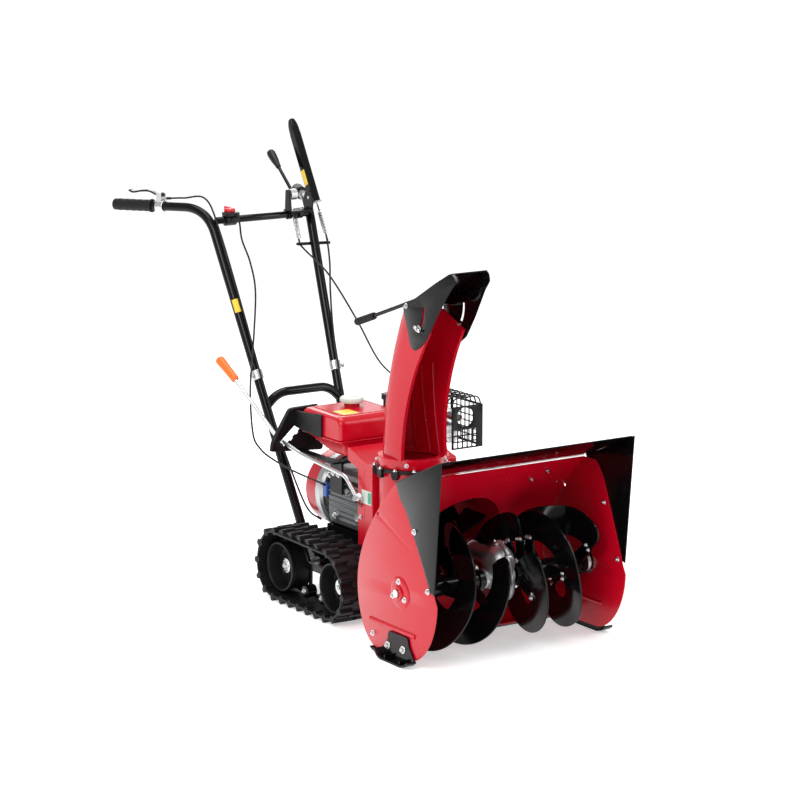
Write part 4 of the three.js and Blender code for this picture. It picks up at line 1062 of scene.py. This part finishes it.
def belts():
    """Each lug is a bar in three stretches, the middle one set back, with ribs beside it and pads inside.

    A profile is given as (share of the pitch, distance from the axle), and a stretch as its two sides.
    """
    lug = ((0.0, 77), (0.1, 87.6), (0.3, 87.6), (0.42, 77))
    rib = ((0, 77), (0.04, 82), (0.2, 82), (0.24, 77))
    pad = ((0.1, 73), (0.14, 67.6), (0.36, 67.6), (0.4, 73))
    for side, sign in SIDES:
        faces = []
        for x, reach in ((146, BELT_INSIDE), (145, 73), (145, 77), (146, BELT_RADIUS),
                         (249, BELT_RADIUS), (250, 77), (250, 73), (249, BELT_INSIDE)):
            faces.append([(sign * x, *point) for point in track_outline(reach)])
        belt = Shape().skin(faces, looped=True)
        for i in range(LUGS):
            for x0, x1, shift in ((144.2, 183, 0), (177, 218, 0.3), (212, 250.8, 0)):
                foot = [track_station(i + shift + share, high) for share, high in lug]
                belt.prism(rounded(foot, 2, 2), "x", sign * x0, sign * x1)
            for profile, shift, stretches in ((rib, 0.62, ((150, 176), (219, 245))),
                                              (pad, 0, ((229, 249), (147, 167)))):
                outline = [track_station(i + shift + share, high) for share, high in profile]
                for x0, x1 in stretches:
                    belt.prism(outline, "x", sign * x0, sign * x1)
        piece(f"track_{side}_belt", arched(belt), "track", (f"track_belt_{side}",), bevel=0.7, sharp=30)


def track_frames():
    roller_z = 38
    roller = ((4, 176), (15, 176), (17, 178), (17, 204), (15, 206), (4, 206))
    for side, sign in SIDES:
        rail = [(462, 96), (578, 96), (572, 114), (468, 114)]
        inside = Shape().prism(rounded(rail, 4), "x", sign * 184, sign * 196)
        inside.box(sign * 110.3, sign * 186, 500, 540, 97, 111)
        for y in (478, 562):
            hanger = rounded([(y - 8, 98), (y + 8, 98), (y + 6, 46), (y - 6, 46)], 4)
            inside.prism(hanger, "x", sign * 184, sign * 189)
            inside.lathe(roller, (0, y, roller_z), (sign, 0, 0), 40)
            bolt((sign * 206, y, roller_z), (sign, 0, 0), 5)
        piece(f"track_{side}_frame", inside, "black", (f"track_frame_{side}",), bevel=1.2, sharp=35)


def wheel_windows(axle_y, spokes):
    """The openings between the spokes of a wheel's disc."""
    half_spoke, corner = 13, 6
    windows = []
    for i in range(spokes):
        start = 360 / spokes * i + half_spoke
        end = 360 / spokes * (i + 1) - half_spoke
        outer = arc((axle_y, TRACK_Z), 50, start, end, 8)
        inner = arc((axle_y, TRACK_Z), 30, end - corner, start + corner, 6)
        windows.append(rounded([*outer, *inner], 2, 2))
    return windows


def wheels():
    """Each axle with its two spoked wheels. Only the rear hubs have a ring of small bolts."""
    end_x = 207
    rim = ((54, 170), (63, 168), (65.4, 170), (65.4, 176), (62, 180), (62, 216), (65.4, 220), (65.4, 226),
           (63, 228), (60, 228), (57, 222), (54, 196))
    hub = ((12, 162), (21, 162), (22, 164), (25, 184), (23, 202), (20, 204), (12, 204))
    cap = ((6, 203.5), (19, 203.5), (20, 204.5), (19, end_x), (6, end_x + 0.5))
    for name, body, axle_y, spokes in (("drive_axle", "drive_wheels", DRIVE_Y, 6),
                                       ("idler_axle", "idler_wheels", IDLER_Y, 5)):
        middle = (0, axle_y, TRACK_Z)
        steel, wheel = Shape(), Shape()
        steel.rod((-end_x, axle_y, TRACK_Z), (end_x, axle_y, TRACK_Z), 11.8)
        for _, sign in SIDES:
            out = (sign, 0, 0)
            wheel.lathe(rim, middle, out, 72, hollow=True)
            disc = arc((axle_y, TRACK_Z), 58, 0, 355, 71)
            wheel.plate(disc, "x", sign * 184, sign * 191, wheel_windows(axle_y, spokes), 1.5)
            wheel.lathe(hub, middle, out, 48, hollow=True)
            steel.lathe(cap, middle, out, 40)
            if body == "drive_wheels":
                for a in turns(6):
                    at = (sign * (end_x - 0.5), axle_y + 14 * cos(a), TRACK_Z + 14 * sin(a))
                    bolt(at, out, 2.4, washer=False, body=body)
            bolt((sign * end_x, axle_y, TRACK_Z), out, 6.5, body=body)
        piece(f"{body}_discs", wheel, "plastic", (name,), body, bevel=0.8, sharp=35)
        piece(f"{body}_shaft", steel, "steel", body=body, sharp=35)


def chassis():
    half, wall, bottom = 110, 4, 62
    tray = Shape().box(-half, half, 334, 404.5, bottom, 120)
    tray.box(-half, half, 404.3, 604, bottom, 197.7)
    tray.box(-half, half, 600, 736, bottom, 150)
    tray = cut(tray, Shape().box(wall - half, half - wall, 338, 732, 50, 116))
    ear = rounded([(700, 80), (770, 104), (792, 150), (764, 168), (700, 146)], 8)
    for _, sign in SIDES:
        tray.prism(ear, "x", sign * 104, sign * half)
        tray.rod((sign * 74, *FOOT[1:]), (sign * 112, *FOOT[1:]), 7)
        for y, z in ((716, 112), (740, 124)):
            bolt((sign * half, y, z), (sign, 0, 0), 6)
    piece("chassis_tray", tray, "black", ("chassis",), bevel=1.2, sharp=35)


# ---------- handles ----------
FOOT = (90, 760, 150)
BEND = (157, 1128, 962)
TIP = (288, 1398, 952)
PIPE_RADIUS = 12.5
CROSSBAR = (1108, 929)


def on_side(sign, point):
    return Vector((sign * point[0], point[1], point[2]))


def beside(sign, z, sideways=0.0, back=0.0):
    """A point beside a handle tube at a height."""
    share = (z - FOOT[2]) / (BEND[2] - FOOT[2])
    point = on_side(sign, FOOT).lerp(on_side(sign, BEND), share)
    return point + Vector((sideways, back, 0))


def grip_profile():
    """A rubber sleeve with a collar, five waves for the fingers and fine ridges."""
    ridges, waves = 48, 5
    profile = [(12.9, 0), (17, 0), (18.2, 1.5), (18.2, 5), (15.2, 7)]
    for i in range(ridges):
        share = i / (ridges - 1)
        profile.append((15.1 + 0.9 * abs(sin(share * pi * waves)) + 0.3 * (i % 2), 9 + share * 108))
    return profile + [(15.6, 121), (15.2, 125), (12, 127), (2, 127)]


def handles():
    sleeve_reach, clamp_z = 122, 535
    collar = ((12.9, -13), (15.6, -13), (16.4, -12), (16.4, 12), (15.6, 13), (12.9, 13))
    knob = ((3, 18), (7, 18), (8, 20), (8, 23), (7, 25), (3, 25))
    for side, sign in SIDES:
        foot, bend, tip = (on_side(sign, p) for p in (FOOT, BEND, TIP))
        pipe = Shape().tube(bent((foot, bend, tip), 75, 20), PIPE_RADIUS, 28)
        piece(f"handle_{side}_pipe", pipe, "black", (f"handle_{side}",), sharp=50)
        along = (tip - bend).normalized()
        grip = Shape().lathe(grip_profile(), tip - along * sleeve_reach, along, 32)
        piece(f"grip_{side}_sleeve", grip, "rubber", (f"grip_{side}",), sharp=60)

        # The clamp where the upper tube meets the lower one.
        middle = beside(sign, clamp_z)
        clamp = Shape().lathe(collar, middle, (bend - foot).normalized(), 40, hollow=True)
        knob_axis = Vector((sign, -0.35, 0.1)).normalized()
        clamp.rod(middle + knob_axis * 14, middle + knob_axis * 22, 4)
        clamp.lathe(knob, middle, knob_axis, 6)
        piece(f"handle_{side}_clamp", clamp, "steel", bevel=0.6, sharp=35)


def cross_tubes():
    bar_end, hoop_y = 143, 899
    crossbar = Shape().rod((-bar_end, *CROSSBAR), (bar_end, *CROSSBAR), 10)
    piece("crossbar_pipe", crossbar, "black", ("crossbar",), sharp=50)
    corners = [(x, hoop_y, z) for x, z in ((-116, 454), (-78, 490), (78, 490), (116, 454))]
    hoop = Shape().tube(bent(corners, 30, 14), PIPE_RADIUS, 28)
    piece("brace_pipe", hoop, "black", ("brace_hoop",), sharp=50)


def handle_label():
    """A blank label wrapped over the front of the right tube."""
    label_z, half, inner, outer = 710, 18, 12.3, 12.9
    lean = (on_side(-1, BEND) - on_side(-1, FOOT)).normalized()
    upright = Vector(UP).rotation_difference(lean).to_matrix().to_4x4()
    section = ((inner, -half), (outer, -half), (outer, half), (inner, half))
    wrap = [[(r * cos(a), r * sin(a), h) for r, h in section] for a in map(radians, range(200, 290, 10))]
    band = Shape().skin(wrap).moved(Matrix.Translation(beside(-1, label_z)) @ upright)
    piece("handle_label", band, "yellow")


# ---------- controls ----------
def lever_bracket():
    """The sheet on the crossbar that carries both big levers."""
    bracket = Shape()
    cheek = rounded([(1058, 940), (1098, 940), (1106, 962), (1094, 992), (1066, 992), (1056, 972)], 6)
    bracket.prism(cheek, "x", 128, 132)
    tower = rounded([(1080, 940), (1108, 940), (1104, 998), (1084, 998)], 5)
    bracket.prism(tower, "x", 72, 78)
    bracket.prism(rounded(rectangle(70, 132, 1062, 1114), 4), "z", 939.5, 944)
    clip = ((10.3, -6), (13.5, -6), (13.5, 6), (10.3, 6))
    for x in (84, 118):
        bracket.lathe(clip, (x, *CROSSBAR), (1, 0, 0), 32, hollow=True)
        bolt((x, 1092, 944), UP, 4)
    piece("lever_bracket_sheet", bracket, "black", ("lever_bracket",), bevel=0.8, sharp=35)
    arm = Shape().tube(bent(((132, 1062, 960), (136, 1050, 966), (140, 1030, 972)), 6, 4), 3, 12)
    piece("cable_stop", arm, "steel")


def control_springs():
    """The two pull springs of the clutch and drive cables, on a cross plate of the left tube."""
    plane_y, windings, steps, coil_radius, wire_radius = 1085, 15, 10, 5.5, 1.4
    springs, ends = Shape(), Shape()
    for (top_x, top_z), (foot_x, foot_z) in (((167, 937), (188, 872)), ((90, 922), (102, 866))):
        top, foot = Vector((top_x, plane_y, top_z)), Vector((foot_x, plane_y, foot_z))
        along = (foot - top).normalized()
        back = Vector(BACK)
        across = along.cross(back).normalized()
        coil = []
        for i in range(windings * steps + 1):
            angle = 2 * pi * i / steps
            middle = top + along * ((foot - top).length * i / (windings * steps))
            coil.append(middle + across * coil_radius * cos(angle) + back * coil_radius * sin(angle))
        springs.tube(coil, wire_radius, 8)
        ends.rod(top - along * 18, top + along * 3, 2)
        ends.rod(foot - along * 3, foot + along * 22, 2)
    piece("control_springs", springs, "steel")
    ends.prism(rounded([(94, 846), (200, 842), (200, 850), (94, 854)], 3), "y", 1080, 1086)
    piece("control_spring_ends", ends, "black", bevel=0.4)


def clutch_lever():
    """A channel on its pivot, which ends in a closed tip that narrows."""
    place = turned((146, 1078, 975), -radians(30), "X")
    section = [(-11, -12), (11, -12), (11, 12), (7.5, 12), (7.5, -8.5), (-7.5, -8.5), (-7.5, 12), (-11, 12)]
    lever = Shape().prism(rounded(section, 1.6, 2), "z", -16, 190)
    end = rounded(rectangle(-11, 11, -12, 12), 4)
    tip_start, tip_length, steps = 188, 44, 12
    tip = []
    for share in [i / steps for i in range(steps + 1)]:
        narrow = 1 - 0.5 * share ** 3
        tip.append([(a * narrow, b * narrow, tip_start + tip_length * share) for a, b in end])
    lever.skin(tip)
    lever.rod((-13.5, 0, 0), (11, 0, 0), 5)
    for height in range(30, 190, 26):
        lever.box(-8, 8, -9, 9, height, height + 2.4)
    piece("clutch_lever_channel", lever.moved(place), "black", ("clutch_lever",), "clutch_lever", bevel=0.8,
          sharp=35)
    label = Shape().box(-11.7, -11.1, -9, 9, 36, 80)
    piece("clutch_lever_label", label.moved(place), "yellow", body="clutch_lever", bevel=0.3)
    bolt(place @ Vector((-13.5, 0, 0)), (-1, 0, 0), 5, body="clutch_lever")


def shift_lever():
    root = Vector((92, 1094, 985))
    tip = root + Vector((8, 124, 92))
    stem = Shape().rod(root, root.lerp(tip, 0.97), 4.6)
    piece("shift_stem", stem, "black", ("shift_lever",), "shift_lever")
    profile = ((5, -48), (7, -47), (7.6, -38), (10.4, -20), (11.6, -4), (11.8, 8), (10.6, 14), (7, 17.4),
               (0, 18))
    knob = Shape().lathe(profile, tip, (tip - root).normalized(), 40)
    piece("shift_knob", knob, "plastic", body="shift_lever", sharp=50)
    disc = Shape().lathe([(4, -13), (14, -13), (15, -12), (15, 5), (14, 6), (4, 6)], root, (1, 0, 0), 40)
    piece("shift_friction_disc", disc, "cast", body="shift_lever", sharp=40)
    bolt(root - Vector((13, 0, 0)), (-1, 0, 0), 5, body="shift_lever")


def throttle():
    x = -100
    base = Shape().lathe([(10.3, -16), (15, -16), (16, -15), (16, 15), (15, 16), (10.3, 16)],
                         (x, *CROSSBAR), (1, 0, 0), 40, hollow=True)
    base.prism(rounded(rectangle(x - 20, x + 20, 1084, 1120), 8), "z", 941, 950)
    piece("throttle_mount", base, "plastic", ("throttle_base",), bevel=1, sharp=35)
    lever = Shape().lathe([(2, 950.3), (14, 950.3), (15, 951.3), (15, 957), (12, 960), (2, 960.5)],
                          (x, CROSSBAR[0], 0), UP, 40)
    wing = [(1108, 953), (1130, 954), (1130, 964), (1122, 964), (1108, 962)]
    lever.prism(rounded(wing, 4), "x", x - 5, x + 5)
    piece("throttle_knob", lever, "knob", ("throttle_lever",), "throttle_lever", bevel=1.2, sharp=35)


def hand_lever():
    """The squeeze lever and its clamp, drawn along the right tube's end and then moved there."""
    bend, tip = on_side(-1, BEND), on_side(-1, TIP)
    along = (tip - bend).normalized()
    sideways = Vector((along.y, -along.x, 0)).normalized()
    up = sideways.cross(along)
    basis = Matrix((sideways, along, up)).transposed().to_4x4()
    from_tip = 150
    place = Matrix.Translation(tip - along * from_tip) @ basis
    mount = Shape().lathe([(12.8, -12), (16, -12), (17, -11), (17, 11), (16, 12), (12.8, 12)],
                          (0, 0, 0), BACK, 40, hollow=True)
    for x in (-11.5, 8.5):
        mount.prism(rounded([(-8, 12), (8, 12), (8, 34), (4, 37), (-4, 37), (-8, 34)], 3), "x", x, x + 3)
    piece("hand_lever_clamp", mount.moved(place), "steel", ("hand_lever_mount",), bevel=0.6, sharp=35)
    blade_line = smooth_line(((-4, 30), (12, 32), (34, 40), (60, 40), (88, 36), (102, 41)), 6)
    blade = Shape().prism(strip(blade_line, 5), "x", -7, 7)
    blade.rod((-8.2, 0, 30), (8.2, 0, 30), 6)
    piece("hand_lever_blade", blade.moved(place), "black", ("hand_lever",), "hand_lever", bevel=1, sharp=35)


def selector():
    """The swinging rod with its orange sleeve."""
    pivot = Vector((-158, 380, 314))
    axis = Vector((0.627, 0.288, -0.724)).normalized()
    line = bent((pivot, (-161, 432, 362), (-175, 620, 384), (-190, 715, 412), (-235, 863, 553)), 16, 8)
    rod = Shape().tube(line, 5.4, 24)
    rod.rod(pivot - axis * 7, pivot + axis * 5, 12)
    rod.rod(pivot, pivot + axis * 32, 6)
    piece("selector_rod", rod, "steel", ("selector_lever",), "selector_lever", sharp=45)
    start, end = Vector((-233, 854, 547)), Vector((-245, 921, 594))
    length = (end - start).length
    profile = [(6, 0), (9, 0.4), (10.4, 3), (10.8, 8), (11.2, length * 0.5), (12.4, length - 10),
               (12.3, length - 4), (10, length - 1), (5, length), (0, length)]
    grip = Shape().lathe(profile, start, (end - start).normalized(), 32)
    piece("selector_grip", grip, "orange", body="selector_lever", sharp=50)


def guide_slot():
    """The slanted slot with three notches that the rod runs in, about its lower end."""
    origin, along = Vector((-186.4, 405.2)), Vector((0.7526, 0.6585))
    across = Vector((-along.y, along.x))
    half, notch_depth, notch_width, length = 9, 4, 10, 96
    corners = [(-10, half), (-10, -half)]
    for notch in (16, 38, 60):
        corners += [(notch, -half), (notch, -half - notch_depth)]
        corners += [(notch + notch_width, -half - notch_depth), (notch + notch_width, -half)]
    corners += [(length, -half), (length, half)]
    return rounded([origin + along * u + across * v for u, v in corners], 2.5, 3)


def guide_plate():
    front, rear = 690, 694
    face = rounded([(-229, 384), (-225, 410), (-172, 494), (-86, 496), (-68, 480), (-68, 372)], 10)
    plate = Shape().plate(face, "y", front, rear, [guide_slot()], 0.8)
    # A thick rolled rim runs up the outer side and along the top.
    rim = bent(((-226.5, 386), (-222, 409), (-170.5, 491), (-88, 493.2)), 10, 6)
    plate.tube([(x, front - 1, z) for x, z in rim], 3.4, 16, flatten=1.6)
    plate.prism(rounded(rectangle(-144, -116, 520, 692), 4), "z", 372, 377)
    plate.box(-118, -112.5, 520, 575, 290, 377)
    side = [(front, 446), (front, 486), (612, 491), (556, 499), (556, 436), (640, 440)]
    plate.prism(rounded(side, 8), "x", -157, -153)
    piece("selector_guide", plate, "plastic", ("guide_plate",), sharp=35)
    for x, z in ((-100, 440), (-82, 404), (-84, 470)):
        bolt((x, front, z), (0, -1, 0), 5)
    for y in (535, 560):
        bolt((-118, y, 340), (-1, 0, 0), 5)


# ---------- cables ----------
def cables():
    """Four sheathed control cables, each with a ferrule at both ends."""
    radius, ferrule_radius, ferrule_length = 2.5, 3.6, 14
    routes = {
        "throttle_cable": [(-92, 1080, 944), (-91, 1070, 920), (-87, 1066, 878), (-72, 1050, 819),
                           (-80, 1010, 750), (-113, 962, 651), (-153, 909, 569),
                           (-210, 820, 504), (-214, 800, 408), (-195, 798, 370), (-169, 790, 344),
                           (-140, 730, 318), (-116, 604, 300)],
        "clutch_cable": [(91, 1085, 930), (103, 1085, 858), (104, 1060, 838), (106, 940, 786),
                         (92, 780, 690), (74, 640, 600), (62, 500, 556), (52, 440, 500), (50, 424, 426)],
        "drive_cable": [(168, 1085, 934), (189, 1085, 868), beside(1, 800, 34, -6), beside(1, 720, 14, -16),
                        beside(1, 600, 0, -20), beside(1, 400, 0, -20), beside(1, 260, -12, -18),
                        (60, 775, 190), (40, 745, 170)],
        "hand_lever_cable": [(-215, 1247, 979), (-190, 1196, 984), (-160, 1130, 986), beside(-1, 900, 6, -20),
                             beside(-1, 700, 6, -18), beside(-1, 560, 2, -19), beside(-1, 400, 2, -19),
                             beside(-1, 260, 12, -18), (-60, 775, 190), (-40, 745, 170)],
    }
    for name, route in routes.items():
        line = smooth_line(route, 10)
        sheath = Shape().tube(line, radius, 12)
        for end, after in ((line[0], line[2]), (line[-1], line[-3])):
            inner_end = end + (after - end).normalized() * ferrule_length
            sheath.rod(end, inner_end, ferrule_radius, edge=0.6, sides=16)
        piece(f"{name}_sheath", sheath, "plastic", (name,), sharp=50)


def carried_over():
    """The CAD nodes whose shape stays get the same materials as the new pieces."""
    slots = {part["node"]: part["material_slot"] for part in frame["record"]["subparts"]}
    for name, item in frame["nodes"].items():
        material = LOOKS[SLOT_LOOKS[slots[name]]][0]
        for spot in item.material_slots:
            spot.material = material


# ---------- studio ----------
def camera():
    """Looks at the front and the machine's right side from a little above."""
    azimuth, elevation = radians(-33.2), radians(11.5)
    data = bpy.data.cameras.new("view")
    data.lens = 135.1
    data.sensor_width = 36
    data.clip_end = 60
    item = linked("view", data)
    back = Vector((sin(azimuth) * cos(elevation), -cos(azimuth) * cos(elevation), sin(elevation)))
    item.location = (-4.0866, -6.4324, 2.0588)
    item.rotation_euler = back.to_track_quat("Z", "Y").to_euler()
    bpy.context.scene.camera = item


def softbox(name, at, target, width, height, power, colour=(1, 1, 1)):
    data = bpy.data.lights.new(name, "AREA")
    data.shape = "RECTANGLE"
    data.size = width
    data.size_y = height
    data.energy = power
    data.color = colour
    item = linked(name, data)
    item.location = at
    item.rotation_euler = (Vector(at) - Vector(target)).to_track_quat("Z", "Y").to_euler()


def floor():
    """A wide sheet of white paper, which glows a little so that it stays white far from the lamps."""
    half_size, glow_strength, drop = 40, 0.45, 0.0005
    mesh = bpy.data.meshes.new("floor")
    shape = bmesh.new()
    bmesh.ops.create_grid(shape, x_segments=1, y_segments=1, size=half_size)
    shape.to_mesh(mesh)
    shape.free()
    paper = finish("floor_paper", (0.97, 0.97, 0.97), 0.9, grain=60, bump=0.0, shade=0.005)
    shader = paper.node_tree.nodes["Principled BSDF"]
    fill(paper.node_tree, shader, {"Emission Color": (1, 1, 1, 1), "Emission Strength": glow_strength})
    mesh.materials.append(paper)
    sheet = linked("floor", mesh)
    sheet.location.z = -drop


def studio():
    world = bpy.data.worlds.new("studio")
    bpy.context.scene.world = world
    world.use_nodes = True
    fill(world.node_tree, world.node_tree.nodes["Background"], {"Color": (1, 1, 1, 1), "Strength": 0.6})
    bpy.context.scene.view_settings.view_transform = "Standard"
    softbox("key", (-2.6, -1.8, 2.6), (0, 0, 0.4), 2.0, 1.6, 60)
    softbox("fill", (2.4, -2.6, 1.8), (0, -0.2, 0.3), 1.2, 2.2, 34)
    softbox("top", (0, 0.3, 3.2), (0, 0, 0.3), 2.0, 2.0, 48)
    softbox("rim", (1.2, 3.0, 2.2), (0, 0.2, 0.6), 2.0, 1.4, 35)


# ---------- build ----------
BUILD_ORDER = (
    camera, carried_over, housing, extension, skids, scraper, axle_bearings, auger, gear_case, impeller,
    channel, channel_ribs, collar_and_seat, wing_nuts, hood, deflector_rod, belt_cover, crankcase,
    flywheel, crank, starter, fuel_tank, fuel_cap, air_cleaner, muffler, muffler_guard, belts,
    track_frames, wheels, chassis, handles, cross_tubes, handle_label, lever_bracket, control_springs,
    clutch_lever, shift_lever, throttle, hand_lever, selector, guide_plate, cables, place_fasteners,
    studio, floor,
)
for build in BUILD_ORDER:
    build()
